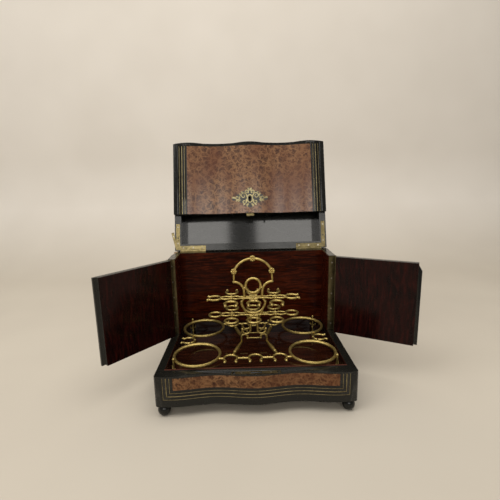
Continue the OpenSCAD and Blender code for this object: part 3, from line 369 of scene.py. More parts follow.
def ebonised_finish():
    """Black stain under old polish, wearing thin on the edges, with a painted grey sheen along them."""
    rubbed_and_sheen, rubbed_and_sheen_share = (0.055, 0.052, 0.04), 0.4
    material, tree, shader, place = new_finish(
        "ebonised wood", Coat_Weight=0.35, Coat_Roughness=0.1, Specular_IOR_Level=0.16)
    streaks = use_group(tree, grain_group, Vector=place, Along=(1, 9, 9), Scale=26.0)
    black = ramp(tree, streaks, (0.3, (0.0035, 0.0035, 0.0028)), (0.55, (0.006, 0.006, 0.0045)),
                 (0.8, (0.009, 0.0085, 0.0065)))
    edges = use_group(tree, edge_group, Vector=place, Width=1.1 * MM, Patchiness=0.9)
    dust = use_group(tree, dust_group, Vector=place, Amount=0.008)
    # The edges are lightened both for their wear and for a painted grey sheen, a highlight along them.
    colour = blend(tree, calc(tree, "MULTIPLY", edges, rubbed_and_sheen_share), black, rubbed_and_sheen)
    colour = blend(tree, dust, colour, (0.30, 0.28, 0.24))
    smears = use_group(tree, smear_group, Vector=place, Size=12.0)
    rough = calc(tree, "ADD", spread(tree, smears, 0.2, 0.34), calc(tree, "MULTIPLY", edges, 0.2))
    finish_with(tree, shader, colour, rough, streaks, 0.12 * MM)
    return material


ebonised = ebonised_finish()
print(ebonised.name)

# %% Burr veneer


def burr_finish(name, tone=1.0, coat=0.9):
    """Burr with pale veins, dark eyes in clusters and reddish flames. `tone` scales its colours."""
    material, tree, shader, place = new_finish(
        name, Coat_Weight=coat, Coat_Roughness=0.22, Specular_IOR_Level=0.06)
    veins = use_group(tree, burr_group, Vector=place, Scale=1.0)
    figure = veins.node.outputs
    dark, mid, light, black, red = (
        tuple(c * tone for c in colour) for colour in (
            (0.022, 0.007, 0.004), (0.080, 0.030, 0.012), (0.260, 0.130, 0.056), (0.006, 0.003, 0.003),
            (0.10, 0.028, 0.009)))
    ground = ramp(tree, figure["Grit"], (0.36, dark), (0.5, mid), (0.7, light))
    colour = blend(tree, calc(tree, "MULTIPLY", veins, 0.8), ground, light)
    deep = calc(tree, "MULTIPLY", figure["Eyes"], calc(tree, "MULTIPLY_ADD", figure["Clusters"], 0.7, 0.3))
    colour = blend(tree, calc(tree, "MULTIPLY", deep, 0.9), colour, dark)
    flecks = calc(tree, "MULTIPLY", ramp(tree, figure["Eyes"], (0.72, 0.0), (0.86, 1.0)), figure["Clusters"])
    colour = blend(tree, calc(tree, "MULTIPLY", flecks, 0.75), colour, black)
    flame = noise(tree, stretch(tree, place, (1, 1, 0.5)), 18.0, 3.0)
    colour = blend(tree, ramp(tree, flame, (0.42, 0.0), (0.66, 0.6)), colour, red)
    smears = use_group(tree, smear_group, Vector=place, Size=16.0)
    finish_with(tree, shader, colour, spread(tree, smears, 0.28, 0.46), figure["Grit"], 0.06 * MM)
    return material


burr_wood = burr_finish("burr veneer")
base_burr_wood = burr_finish("burr veneer of the base", tone=0.95, coat=0.25)
print(burr_wood.name, base_burr_wood.name)

# %% Rosewood


def rosewood_finish(name, dark, mid, light, along=(1, 10, 10), gloss=0.07, coat=0.35):
    """Streaked wood with black pores, in three tones. `along` shortens the grain across its run."""
    material, tree, shader, place = new_finish(
        name, Coat_Weight=coat, Coat_Roughness=gloss, Specular_IOR_Level=0.03)
    streaks = use_group(tree, grain_group, Vector=place, Along=along, Scale=34.0)
    pores = streaks.node.outputs["Pores"]
    glow = noise(tree, stretch(tree, place, tuple(0.5 * a for a in along)), 14.0, 3.0)
    colour = ramp(tree, streaks, (0.34, dark), (0.5, mid), (0.68, light))
    colour = blend(tree, ramp(tree, glow, (0.45, 0.0), (0.75, 0.5)), colour, light)
    colour = blend(tree, calc(tree, "MULTIPLY", pores, 0.6), colour, (0.006, 0.003, 0.002))
    smears = use_group(tree, smear_group, Vector=place, Size=10.0)
    finish_with(tree, shader, colour, spread(tree, smears, 0.2, 0.38), streaks, 0.06 * MM)
    return material


rosewood = rosewood_finish(
    "rosewood", (0.007, 0.0013, 0.0006), (0.020, 0.0028, 0.0009), (0.075, 0.012, 0.003), coat=0.06)
door_rosewood = rosewood_finish(
    "dark rosewood", (0.0035, 0.0011, 0.0010), (0.009, 0.0018, 0.0015), (0.028, 0.004, 0.0028),
    along=(7, 7, 1), gloss=0.16, coat=0.2)
tray_rosewood = rosewood_finish(
    "tray rosewood", (0.006, 0.0020, 0.0012), (0.017, 0.0045, 0.0022), (0.05, 0.013, 0.005),
    gloss=0.04, coat=0.8)
lining_rosewood = rosewood_finish(
    "tray lining", (0.004, 0.0016, 0.0012), (0.010, 0.0032, 0.0020), (0.03, 0.009, 0.005), gloss=0.08)
print(rosewood.name, door_rosewood.name, tray_rosewood.name, lining_rosewood.name)

# %% The red lip above the rim, with a painted highlight


def paint_highlight_above(material, height, red):
    """Gives what stands above a height a lighter colour, a painted highlight where the lip's top catches light."""
    tree = material.node_tree
    base = tree.nodes["Principled BSDF"].inputs["Base Color"]
    place = tree.nodes["Texture Coordinate"].outputs["Object"]
    above = calc(tree, "GREATER_THAN", add(tree, "ShaderNodeSeparateXYZ", outlet="Z", Vector=place), height)
    tree.links.new(blend(tree, above, base.links[0].from_socket, red), base)


# The lip's top is painted a lighter red as a highlight, where it catches light.
paint_highlight_above(lining_rosewood, rim_z + 0.1 * MM, (0.085, 0.028, 0.018))
print(lining_rosewood.name, "is red above", round(rim_z / MM, 1), "mm")

# %% Dark polish inside the lid, and bare wood


def dark_polish_finish():
    """Thick dark polish with fine blotches that are drawn out from side to side."""
    material, tree, shader, place = new_finish(
        "dark polish", Coat_Weight=1.0, Coat_Roughness=0.09, Specular_IOR_Level=0.1)
    blotches = noise(tree, stretch(tree, place, (0.35, 1, 1)), 90.0, 6.0, 0.75, 0.6)
    colour = ramp(tree, blotches, (0.34, (0.003, 0.003, 0.0025)), (0.5, (0.008, 0.008, 0.0065)),
                  (0.66, (0.022, 0.022, 0.018)))
    finish_with(tree, shader, colour, ramp(tree, blotches, (0.35, 0.2), (0.65, 0.5)), blotches, 0.04 * MM)
    return material


def bare_wood_finish():
    """Pale dry wood where the finish is lost."""
    material, tree, shader, place = new_finish("bare wood", IOR=1.45)
    streaks = use_group(tree, grain_group, Vector=place, Along=(8, 1, 8), Scale=60.0)
    colour = ramp(tree, streaks, (0.3, (0.20, 0.13, 0.07)), (0.7, (0.46, 0.33, 0.19)))
    finish_with(tree, shader, colour, spread(tree, streaks, 0.6, 0.8), streaks)
    return material


dark_polish = dark_polish_finish()
bare_wood = bare_wood_finish()
print(dark_polish.name, bare_wood.name)

# %% [markdown]
# ## Metal finishes
#
# The rack was gilt once. The gold is left on the round bars and is brown where they meet, so the
# colour follows the edge mask, which is strong in such corners. The hinges are plain brass that has
# gone dull, the inlaid lines are scraped flush with the wood, and the screws are steel with a brown
# bloom.

# %% Brass, gilding and steel


def metal_finish(name, bright, dull, tarnish, roughness, size=120.0, dirt=0.5, right_darkening=0):
    """A metal with patches of tarnish and darker corners, and its right half darker by right_darkening."""
    material, tree, shader, place = new_finish(name, Metallic=1.0)
    patches = noise(tree, place, size, 5.0, 0.6, 0.8)
    spots = noise(tree, place, size * 5, 3.0)
    colour = ramp(tree, patches, (0.36, dull), (0.58, bright))
    # The right half (x above 0) is blended by the share right_darkening towards the tarnish colour.
    if right_darkening:
        across = add(tree, "ShaderNodeSeparateXYZ", outlet="X", Vector=place)
        right = calc(tree, "GREATER_THAN", across, 0.0)
        colour = blend(tree, calc(tree, "MULTIPLY", right, right_darkening), colour, tarnish)
    corners = use_group(tree, edge_group, Vector=place, Width=1.6 * MM, Patchiness=0.3)
    colour = blend(tree, calc(tree, "MULTIPLY", corners, 0.35 * dirt), colour, tarnish)
    colour = blend(tree, ramp(tree, spots, (0.56, 0.0), (0.72, dirt)), colour, tarnish)
    rough = calc(tree, "ADD", spread(tree, patches, roughness + 0.08, roughness - 0.04),
                 ramp(tree, spots, (0.5, 0.0), (0.8, 0.16)))
    finish_with(tree, shader, colour, rough, spots, 0.06 * MM)
    return material


gilt = metal_finish("gilt brass", (0.58, 0.44, 0.155), (0.35, 0.26, 0.085), (0.11, 0.075, 0.026), 0.4)
dull_brass = metal_finish(
    "dull brass", (0.34, 0.275, 0.13), (0.17, 0.135, 0.062), (0.035, 0.028, 0.015), 0.36, 90.0, 0.8, 0.45)
strip_brass = metal_finish(
    "strip brass", (0.15, 0.12, 0.06), (0.085, 0.068, 0.034), (0.03, 0.024, 0.014), 0.42, 60.0)
inlay_brass = metal_finish(
    "inlaid brass", (0.34, 0.28, 0.145), (0.19, 0.15, 0.08), (0.08, 0.063, 0.04), 0.36, 60.0, 0.35)
shield_brass = metal_finish(
    "shield brass", (0.42, 0.36, 0.19), (0.25, 0.21, 0.11), (0.10, 0.083, 0.045), 0.36, 90.0, 0.5)
steel = metal_finish(
    "screw steel", (0.50, 0.46, 0.38), (0.28, 0.24, 0.18), (0.07, 0.05, 0.035), 0.34, 200.0, 0.6)
lock_iron = metal_finish(
    "lock iron", (0.012, 0.011, 0.010), (0.006, 0.006, 0.005), (0.004, 0.004, 0.003), 0.6)
metals = (gilt, dull_brass, strip_brass, inlay_brass, shield_brass, steel, lock_iron)
print(*(metal.name for metal in metals), sep=", ")

# %% Black mastic


def mastic_finish():
    """Black filling with a fine grit."""
    material, tree, shader, place = new_finish("black mastic", Coat_Weight=0.3, Coat_Roughness=0.3)
    grit = noise(tree, place, 400.0, 3.0)
    colour = ramp(tree, grit, (0.4, (0.010, 0.009, 0.008)), (0.7, (0.03, 0.026, 0.02)))
    finish_with(tree, shader, colour, spread(tree, grit, 0.35, 0.5), grit, 0.05 * MM)
    return material


mastic = mastic_finish()
print(mastic.name)

# %% [markdown]
# ## Finishes on the pieces as they are
#
# Most pieces keep their exact shape and only get a finish. The slot of each piece names its
# material, and a few pieces that the light meets differently have a finish of their own.

# %% Dress the frame
finish_of_slot = {
    "ebonised_wood": ebonised, "softwood": bare_wood, "rosewood": rosewood, "grey_polish": dark_polish,
    "burr_veneer": burr_wood, "brass_inlay": inlay_brass, "dull_brass": dull_brass,
    "steel": steel, "gilt_brass": gilt}
own_finish = {
    "base_burr": base_burr_wood, "tray_board": tray_rosewood, "tray_lining": lining_rosewood,
    "escutcheon": mastic, "lock_case": lock_iron, "locating_pins": lock_iron, "strike_plate": strip_brass}
for side in ("left", "right"):
    own_finish[f"{side}_door_lining"] = door_rosewood
    own_finish[f"{side}_fixed_leaf"] = own_finish[f"{side}_door_leaf"] = strip_brass


def dress(piece, material):
    """Gives a piece one material for all its faces."""
    piece.data.materials.clear()
    piece.data.materials.append(material)


for name, piece in frame["nodes"].items():
    dress(piece, own_finish.get(name, finish_of_slot[slot_of[name]]))
print("dressed", len(frame["nodes"]), "pieces")

# %% [markdown]
# ## Softened wood
#
# A real board has no knife edges: polishing rounds them by a fraction of a millimetre, and that
# thin round catches the light along every rim. The boards are copied, their loose triangles are
# joined, and only the long outer edges get a small bevel. The beds of the inlay stay sharp.

# %% Soften a board
touching = 1e-6
flat_turn, corner_turn = math.radians(0.4), math.radians(28)


def welded_copy(name):
    """A copy of a piece's mesh in its closed place, joined into flat faces."""
    mesh = bmesh.new()
    mesh.from_mesh(frame["nodes"][name].data)
    mesh.transform(pose_of.get(body_of[name], still).inverted())
    bmesh.ops.remove_doubles(mesh, verts=mesh.verts, dist=touching)
    bmesh.ops.dissolve_limit(mesh, angle_limit=flat_turn, verts=mesh.verts, edges=mesh.edges)
    return mesh


def finished(name, mesh, material, body, at=still, smooth=35):
    """Turns a bmesh into a piece of the model, smooth but for edges over an angle."""
    mesh.transform(at)
    data = bpy.data.meshes.new(name)
    mesh.to_mesh(data)
    mesh.free()
    data.materials.append(material)
    data.polygons.foreach_set("use_smooth", [True] * len(data.polygons))
    data.set_sharp_from_angle(angle=math.radians(smooth))
    piece = bpy.data.objects.new(name, data)
    bpy.context.scene.collection.objects.link(piece)
    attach(piece, body)
    return piece


def is_long_corner(edge, shortest):
    """Whether an edge is long enough to round, and a sharp outer one."""
    if len(edge.link_faces) != 2 or edge.calc_length() < shortest:
        return False
    return edge.calc_face_angle(0) > corner_turn and edge.is_convex


def soften(name, width, outer, shortest=4 * MM):
    """Replaces a board by one whose outer edges are rounded. `outer` says which edges count."""
    mesh = welded_copy(name)
    edges = [e for e in mesh.edges if is_long_corner(e, shortest) and outer(e)]
    bmesh.ops.bevel(mesh, geom=edges, offset=width, offset_type="OFFSET", segments=3, profile=0.5,
                    affect="EDGES", clamp_overlap=True)
    body = body_of[name]
    piece = finished(f"{name}_softened", mesh, ebonised, body, pose_of.get(body, still))
    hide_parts(name)
    print(name, len(edges), "edges softened,", len(piece.data.polygons), "faces")
    return piece


# %% Which edges are outer ones
# An edge counts as level or at a height within a hair, and as on a face within that face's skin.
hair = 0.02 * MM
front_skin, back_skin, side_skin = 0.7 * MM, 0.1 * MM, 3 * MM


def middle(edge):
    return (edge.verts[0].co + edge.verts[1].co) / 2


def is_level(edge):
    return abs(edge.verts[0].co.z - edge.verts[1].co.z) < hair


def at_height(edge, height):
    return is_level(edge) and abs(middle(edge).z - height) < hair


def on_front(edge):
    place = middle(edge)
    return place.y < front_y(place.x) + front_skin


def at_back(edge):
    return middle(edge).y > back_y - back_skin


def at_side(edge):
    return abs(middle(edge).x) > half_w - side_skin


print("edges at", rim_z / MM, "and", round(lid_top / MM, 1), "mm")

# %% Soften the boards


def base_edge(edge):
    on_rim = at_height(edge, rim_z) and (on_front(edge) or at_side(edge))
    return on_rim or on_front(edge) and at_side(edge)


def back_board_edge(edge):
    return at_side(edge) or at_back(edge) and at_height(edge, top_z - 0.2 * MM)


def lid_edge(edge):
    return at_height(edge, lid_top) or not is_level(edge) and at_side(edge)


def rim_edge(edge):
    return at_side(edge) and (not is_level(edge) or at_height(edge, lid_z))


def panel_edge(edge):
    return abs(middle(edge).x) > inner_half


def door_edge(edge):
    off_square = abs(edge.calc_face_angle(0) - math.pi / 2)
    return off_square < 0.5


soften("front_rail", 0.6 * MM, base_edge)
soften("base_rails", 0.6 * MM, lambda e: at_side(e) or at_back(e))
soften("back_board", 0.4 * MM, back_board_edge, 20 * MM)
soften("lid_board", 1.0 * MM, lid_edge)
soften("lid_rails", 0.4 * MM, rim_edge)
soften("front_panel", 0.4 * MM, panel_edge, 6 * MM)
soften("left_door", 0.5 * MM, door_edge, 8 * MM)
soften("right_door", 0.5 * MM, door_edge, 8 * MM)
soften("right_return", 0.4 * MM, at_side, 20 * MM)

# %% The bare bed of the lost hinge arm
bed_low = (-half_w + 0.6 * MM, 81 * MM, top_z - 3 * MM)
bed_high = (-inner_half, 119 * MM, top_z - 0.25 * MM)
for name, board in (("left_return", soften("left_return", 0.3 * MM, at_side, 20 * MM)),
                    ("back_board", bpy.data.objects["back_board_softened"])):
    board.data.materials.append(bare_wood)
    for face in board.data.polygons:
        if all(low < place < high for low, place, high in zip(bed_low, face.center, bed_high)):
            face.material_index = 1
    print(name, sum(f.material_index for f in board.data.polygons), "bare faces")

# %% [markdown]
# ## Round wires
#
# The rack is cast brass, filed round. A poly curve with a round bevel makes such bars from a list
# of points, and each strand can have its own thickness. The curve becomes a plain mesh at once, so
# that nothing live is left on the piece.

# %% Wire helpers
rack_y = -1.75 * MM
at_rack = Matrix.Translation((0, rack_y, 0))
bead_r = 2.7 * MM


def arc_points(centre, radius, start, end, steps=24):
    """Points in a flat arc, angles in degrees, as (across, up) pairs."""
    angles = np.radians(np.linspace(start, end, steps))
    return [(centre[0] + radius * math.cos(a), centre[1] + radius * math.sin(a)) for a in angles]


def wire_mesh(strands, smoothness=3):
    """A bmesh of round wires. Each strand is its points, its radius and whether it is closed."""
    data = bpy.data.curves.new("wires", "CURVE")
    data.dimensions = "3D"
    data.bevel_depth = 1.0
    data.bevel_resolution = smoothness
    data.use_fill_caps = True
    for points, radius, closed in strands:
        spline = data.splines.new("POLY")
        spline.points.add(len(points) - 1)
        for i, (target, point) in enumerate(zip(spline.points, points)):
            target.co = (*point, 1)
            target.radius = radius(i / (len(points) - 1)) if callable(radius) else radius
        spline.use_cyclic_u = closed
        spline.use_smooth = True
    carrier = bpy.data.objects.new("wires", data)
    mesh = bmesh.new()
    mesh.from_mesh(carrier.to_mesh())
    bpy.data.objects.remove(carrier)
    bpy.data.curves.remove(data)
    return mesh


def add_ball(mesh, place, radius):
    """A ball on a wire or at its end."""
    bmesh.ops.create_uvsphere(
        mesh, u_segments=12, v_segments=8, radius=radius, matrix=Matrix.Translation(Vector(place)))


def join_into(mesh, other):
    """Adds another bmesh to this one."""
    data = bpy.data.meshes.new("joined")
    other.to_mesh(data)
    other.free()
    mesh.from_mesh(data)
    bpy.data.meshes.remove(data)


def flat(points, z):
    """Lays (across, back) pairs at a height."""
    return [(x, y, z) for x, y in points]


def upright(points, y, z=0.0):
    """Stands (across, up) pairs in a plane that faces the front."""
    return [(x, y, z + up) for x, up in points]


def rack_piece(name, mesh, node):
    """A gilt piece of the rack that stands for a node of the frame."""
    piece = finished(name, mesh, gilt, "rack", at_rack, smooth=60)
    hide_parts(node)
    print(name, len(piece.data.polygons), "faces")


print("wire helpers ready")

# %% [markdown]
# ## Copies by Geometry Nodes
#
# The same hook, ring, rosette or screw comes back many times. One tree puts a copy of a chosen
# object on every point of a carrier mesh, turned as the point's attribute says, makes the copies
# real and gives them a finish. The carrier then becomes a plain mesh.

# %% The tree that places copies


def copies_tree():
    """Copies of Piece on the points of Places, turned and sized by the points' attributes."""
    tree = bpy.data.node_groups.new("place copies", "GeometryNodeTree")
    for name, kind in (("Places", "NodeSocketGeometry"), ("Piece", "NodeSocketObject"),
                       ("Finish", "NodeSocketMaterial")):
        tree.interface.new_socket(name, in_out="INPUT", socket_type=kind)
    tree.interface.new_socket("Copies", in_out="OUTPUT", socket_type="NodeSocketGeometry")
    inlet = tree.nodes.new("NodeGroupInput").outputs
    outlet = tree.nodes.new("NodeGroupOutput").inputs
    piece = add(tree, "GeometryNodeObjectInfo", outlet="Geometry", Object=inlet["Piece"])
    turn = add(tree, "GeometryNodeInputNamedAttribute", settings={"data_type": "FLOAT_VECTOR"}, Name="turn")
    size = add(tree, "GeometryNodeInputNamedAttribute", settings={"data_type": "FLOAT"}, Name="size")
    rotation = add(tree, "FunctionNodeEulerToRotation", Euler=turn)
    placed = add(tree, "GeometryNodeInstanceOnPoints", Points=inlet["Places"], Instance=piece,
                 Rotation=rotation, Scale=size)
    real = add(tree, "GeometryNodeRealizeInstances", Geometry=placed)
    dressed = add(tree, "GeometryNodeSetMaterial", Geometry=real, Material=inlet["Finish"])
    tree.links.new(dressed, outlet[0])
    return tree


place_copies = copies_tree()
print(place_copies.name, "has", len(place_copies.nodes), "nodes")

# %% Use the tree


def copies(name, piece, places, material, body, *nodes, slot="gilt_brass", sizes=None):
    """Copies of piece at each (place, turn). The turn is three angles in radians.

    `nodes` are the pieces of the frame that the copies stand for, if any.
    """
    data = bpy.data.meshes.new(name)
    data.from_pydata([p for p, _ in places], [], [])
    turns = data.attributes.new("turn", "FLOAT_VECTOR", "POINT")
    turns.data.foreach_set("vector", [a for _, t in places for a in t])
    scales = data.attributes.new("size", "FLOAT", "POINT")
    scales.data.foreach_set("value", sizes or [1.0] * len(places))
    if body == "rack":
        data.transform(at_rack)
    carrier = bpy.data.objects.new(name, data)
    bpy.context.scene.collection.objects.link(carrier)
    modifier = carrier.modifiers.new("copies", "NODES")
    modifier.node_group = place_copies
    values = {"Piece": piece, "Finish": material}
    for item in place_copies.interface.items_tree:
        if item.in_out == "INPUT" and item.name in values:
            modifier[item.identifier] = values[item.name]
    evaluated = carrier.evaluated_get(bpy.context.evaluated_depsgraph_get())
    real = bpy.data.meshes.new_from_object(evaluated)
    carrier.modifiers.clear()
    carrier.data = real
    real.polygons.foreach_set("use_smooth", [True] * len(real.polygons))
    real.set_sharp_from_angle(angle=math.radians(50))
    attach(carrier, body)
    if nodes:
        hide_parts(*nodes)
    print(name, len(places), "copies")


def pattern_piece(name, mesh):
    """A piece that only serves to be copied. It isn't linked to the scene."""
    data = bpy.data.meshes.new(name)
    mesh.to_mesh(data)
    mesh.free()
    return bpy.data.objects.new(name, data)


print("copies ready")

# %% [markdown]
# ## Decanter rings
#
# Four rings hold the decanters. Each is a round hoop with a fine bead turned along its outside, as
# on the real casting. One hoop is modelled and copied to its four places.

# %% Decanter rings
ring_r = 39.8 * MM
ring_x = 101.5 * MM
ring_y = 57.5 * MM
hoop_r, edging_r = 2.6 * MM, 0.8 * MM
edging_out, edging_up = 1.3 * MM, 2.0 * MM
hoop = wire_mesh([
    (flat(arc_points((0, 0), ring_r, 0, 357, 120), 0), hoop_r, True),
    (flat(arc_points((0, 0), ring_r + edging_out, 0, 357, 120), edging_up), edging_r, True)], 4)
hoop_piece = pattern_piece("hoop", hoop)
for row, side in (("front", -1), ("back", 1)):
    places = [((s * ring_x, side * ring_y, ring_z), (0, 0, 0)) for s in (-1, 1)]
    copies(f"{row}_hoops", hoop_piece, places, gilt, "rack", f"{row}_decanter_rings")

# %% [markdown]
# ## Hooks and rings for glasses
#
# A glass hangs by its foot in an open hook. The hook is most of a circle, and its two tips curl
# outwards and end in small balls. The lower tier has closed rings. Hook and ring are each drawn
# once, with the mouth of the hook towards +X.

# %% Hook and ring patterns
glass_r = 11.6 * MM
bar_r = 2.0 * MM
tip_r = 2.5 * MM


def hook_mesh():
    """An open hook in the XY plane with its mouth towards +X."""
    mouth, curl = 50, 95
    curl_r = 3.4 * MM
    strand = arc_points((0, 0), glass_r, mouth, 360 - mouth, 44)
    tip = Vector((math.cos(math.radians(mouth)), math.sin(math.radians(mouth))))
    centre = tip * (glass_r + curl_r)
    upper = arc_points(centre, curl_r, 180 + mouth, 180 + mouth + curl, 9)
    lower = [(x, -y) for x, y in upper]
    points = list(reversed(upper[1:])) + strand + lower[1:]
    mesh = wire_mesh([(flat(points, 0), bar_r, False)])
    for x, y in (upper[-1], lower[-1]):
        add_ball(mesh, (x, y, 0), tip_r)
    add_ball(mesh, (-glass_r, 0, 0), tip_r)
    return mesh


hook = pattern_piece("glass hook", hook_mesh())
closed_ring = pattern_piece(
    "glass ring", wire_mesh([(flat(arc_points((0, 0), glass_r, 0, 352, 48), 0), bar_r, True)]))
print("hook has", len(hook.data.polygons), "faces")

# %% [markdown]
# ## Tiers
#
# Each tier has a hook or a ring at both ends, at the four corners and in the middle of the front
# and the back. Two spine bars run from end to end, and hold the handle between them.

# %% Tiers
tier_end_x = 72 * MM
tier_x = 41 * MM
tier_y = 32.5 * MM
spine_y = 4.45 * MM
split_x = 24 * MM
tier_bar_r = 1.55 * MM
swell = 3.2 * MM
link_half, link_y = 7.5 * MM, 11 * MM


def tier_bars(side, height):
    """The bars of one part of a tier: side -1, 0 or 1. The end parts swell out twice."""
    strands = []
    for t in (-1, 1):
        if side:
            near = tier_end_x - math.sqrt(glass_r ** 2 - spine_y ** 2)
            spine = []
            for i in range(25):
                x = split_x + (near - split_x) * i / 24
                lobe = (x - split_x) / (tier_x - split_x) if x < tier_x else (x - tier_x) / (near - tier_x)
                spine.append((side * x, t * (spine_y + swell * math.sin(math.pi * lobe) ** 2)))
            strands.append(spine)
            strands.append([(side * tier_x, t * spine_y), (side * tier_x, t * (tier_y - glass_r))])
        else:
            strands.append([(-split_x, t * spine_y), (split_x, t * spine_y)])
            strands.append([(0, t * spine_y), (0, t * (tier_y - glass_r))])
            strands.append([(-link_half, t * link_y), (link_half, t * link_y)])
    mesh = wire_mesh([(flat(s, height), tier_bar_r, False) for s in strands])
    for t in (-1, 1):
        add_ball(mesh, (side * tier_x, t * 7.0 * MM, height), bead_r)
    return mesh


for level, height, piece in (("lower", lower_z, closed_ring), ("upper", upper_z, hook)):
    for side, part in ((-1, "left"), (0, "centre"), (1, "right")):
        name = f"{level}_tier_{part}"
        rack_piece(f"{name}_bars", tier_bars(side, height), name)
    ends = [((s * tier_end_x, 0, height), (0, 0, 0 if s > 0 else math.pi)) for s in (-1, 1)]
    rows = [((s * tier_x, t * tier_y, height), (0, 0, t * math.pi / 2))
            for s in (-1, 0, 1) for t in (-1, 1)]
    copies(f"{level}_tier_hooks", piece, ends + rows, gilt, "rack")

# %% [markdown]
# ## Lower hooks
#
# Between the two front hoops runs a bar with three hooks, and its twin is at the back. A single
# hook stands between the hoops on each side, held by two short links.

# %% Hook bars and side hooks
hook_pitch = 42.5 * MM
hook_y = 74 * MM
side_hook_x = 125 * MM
side_link_y = 10.4 * MM
ring_touch = ring_r + 2.65 * MM


def hook_bar_mesh(side):
    """The bar between three hooks, out to the hoops on both sides."""
    end_x = ring_x - math.sqrt(ring_touch ** 2 - (hook_y - ring_y) ** 2)
    strands = []
    for s in (-1, 1):
        strands.append([(s * glass_r, side * hook_y), (s * (hook_pitch - glass_r), side * hook_y)])
        strands.append([(s * (hook_pitch + glass_r), side * hook_y), (s * end_x, side * hook_y)])
    mesh = wire_mesh([(flat(s, ring_z), bar_r, False) for s in strands])
    for s in (-1, 1):
        add_ball(mesh, (s * hook_pitch / 2, side * hook_y, ring_z), bead_r)
        add_ball(mesh, (s * (end_x - 1.5 * MM), side * hook_y, ring_z), 2.4 * MM)
    return mesh


def side_link_mesh():
    """Two links on each side, from the single hook to the hoops in front of it and behind it."""
    link_x = side_hook_x - 5 * MM
    far = ring_y - math.sqrt(ring_touch ** 2 - (link_x - ring_x) ** 2)
    strands = [[(s * link_x, t * side_link_y), (s * link_x, t * far)] for s in (-1, 1) for t in (-1, 1)]
    return wire_mesh([(flat(s, ring_z), bar_r, False) for s in strands])


for row, side in (("front", -1), ("back", 1)):
    rack_piece(f"{row}_hook_bar_wire", hook_bar_mesh(side), f"{row}_hook_bar")
    places = [((s * hook_pitch, side * hook_y, ring_z), (0, 0, side * math.pi / 2)) for s in (-1, 0, 1)]
    copies(f"{row}_lower_hooks", hook, places, gilt, "rack")
rack_piece("side_links", side_link_mesh(), "side_hooks")
places = [((side_hook_x, 0, ring_z), (0, 0, 0)), ((-side_hook_x, 0, ring_z), (0, 0, math.pi))]
copies("side_hook_pair", hook, places, gilt, "rack")

# %% [markdown]
# ## The stand
#
# Four arms run aslant from the hook bars to two lyre-shaped frames, one behind the other. Each frame
# is a pair of arches, a pair of scrolls and two posts that carry the lower tier. An arm is thickest
# near its middle, so its wire has a radius that changes along it.

# %% Stand
stand_y = 11 * MM
arch_x = 18 * MM
arch_r = 5.8 * MM
arch_z = 9 * MM
scroll_r = 7.8 * MM
post_x = 6.5 * MM
scroll_x = post_x + scroll_r
scroll_z = arch_z + arch_r + scroll_r + 1.2 * MM
end_ball_r = 2.6 * MM


def lyre_strands(s, y):
    """One half of a lyre frame, in the plane at y."""
    arch = [(arch_x + arch_r, -1.0 * MM)] + arc_points((arch_x, arch_z), arch_r, 0, 200, 22)
    scroll = arc_points((scroll_x, scroll_z), scroll_r, 180, 380, 30)
    post = [(post_x, lower_z - ring_z)] + scroll
    return [upright([(s * x, z) for x, z in strand], y, ring_z) for strand in (arch, post)]


def arm_radius(t):
    """The radius of an arm, t from 0 at the hook bar to 1 at the lyre."""
    return (2.1 + 2.0 * math.sin(math.pi * t) ** 2 * (1 - 0.5 * t)) * MM


def stand_mesh():
    """Both lyre frames, the arms between them and the hook bars, and their beads."""
    arch_end_z, scroll_end_z = ring_z + arch_z - 1.5 * MM, ring_z + scroll_z + 1.5 * MM
    strands = [c for s in (-1, 1) for t in (-1, 1) for c in lyre_strands(s, t * stand_y)]
    mesh = wire_mesh([(c, bar_r, False) for c in strands])
    arms = []
    for s in (-1, 1):
        for t in (-1, 1):
            foot = Vector((s * (arch_x + arch_r), t * stand_y))
            top = Vector((s * hook_pitch, t * hook_y))
            start = top + (foot - top).normalized() * (glass_r + bar_r)
            line = [(*(start + (foot - start) * i / 12), ring_z) for i in range(13)]
            arms.append((line, arm_radius, False))
            for share, size in ((0.2, 3.3), (0.26, 2.7)):
                add_ball(mesh, (*(start + (foot - start) * share), ring_z), size * MM)
            add_ball(mesh, (s * (arch_x - arch_r), t * stand_y, arch_end_z), end_ball_r)
            add_ball(mesh, (s * (scroll_x + scroll_r), t * stand_y, scroll_end_z), end_ball_r)
            add_ball(mesh, (*foot, ring_z), 2.2 * MM)
    for t in (-1, 1):
        inner = [(x, t * stand_y, arch_end_z) for x in (arch_r - arch_x, arch_x - arch_r)]
        arms.append((inner, 1.3 * MM, False))
    join_into(mesh, wire_mesh(arms))
    return mesh


rack_piece("lyre_stand", stand_mesh(), "rack_stand")

# %% [markdown]
# ## The carrying handle
#
# The handle stands in one upright plane: an arch with three rosettes, shoulders that sweep in to a
# waist at the upper tier with a round loop between them, a bowl down to the lower tier, and two legs
# that cross the stand.

# %% Handle outline
handle_r = 2.3 * MM
handle_up = 74.5 * MM
crown_r = 37.5 * MM
rosette_x = 35 * MM
rosette_up = handle_up - crown_r + math.sqrt(crown_r ** 2 - rosette_x ** 2)
shoulder_up = 30.5 * MM
sweep_r = 19 * MM
waist_x = 17 * MM
kink = (22.3 * MM, -8.5 * MM)
loop_r = 13.9 * MM
loop_up = 23 * MM
knot_r = 2.8 * MM


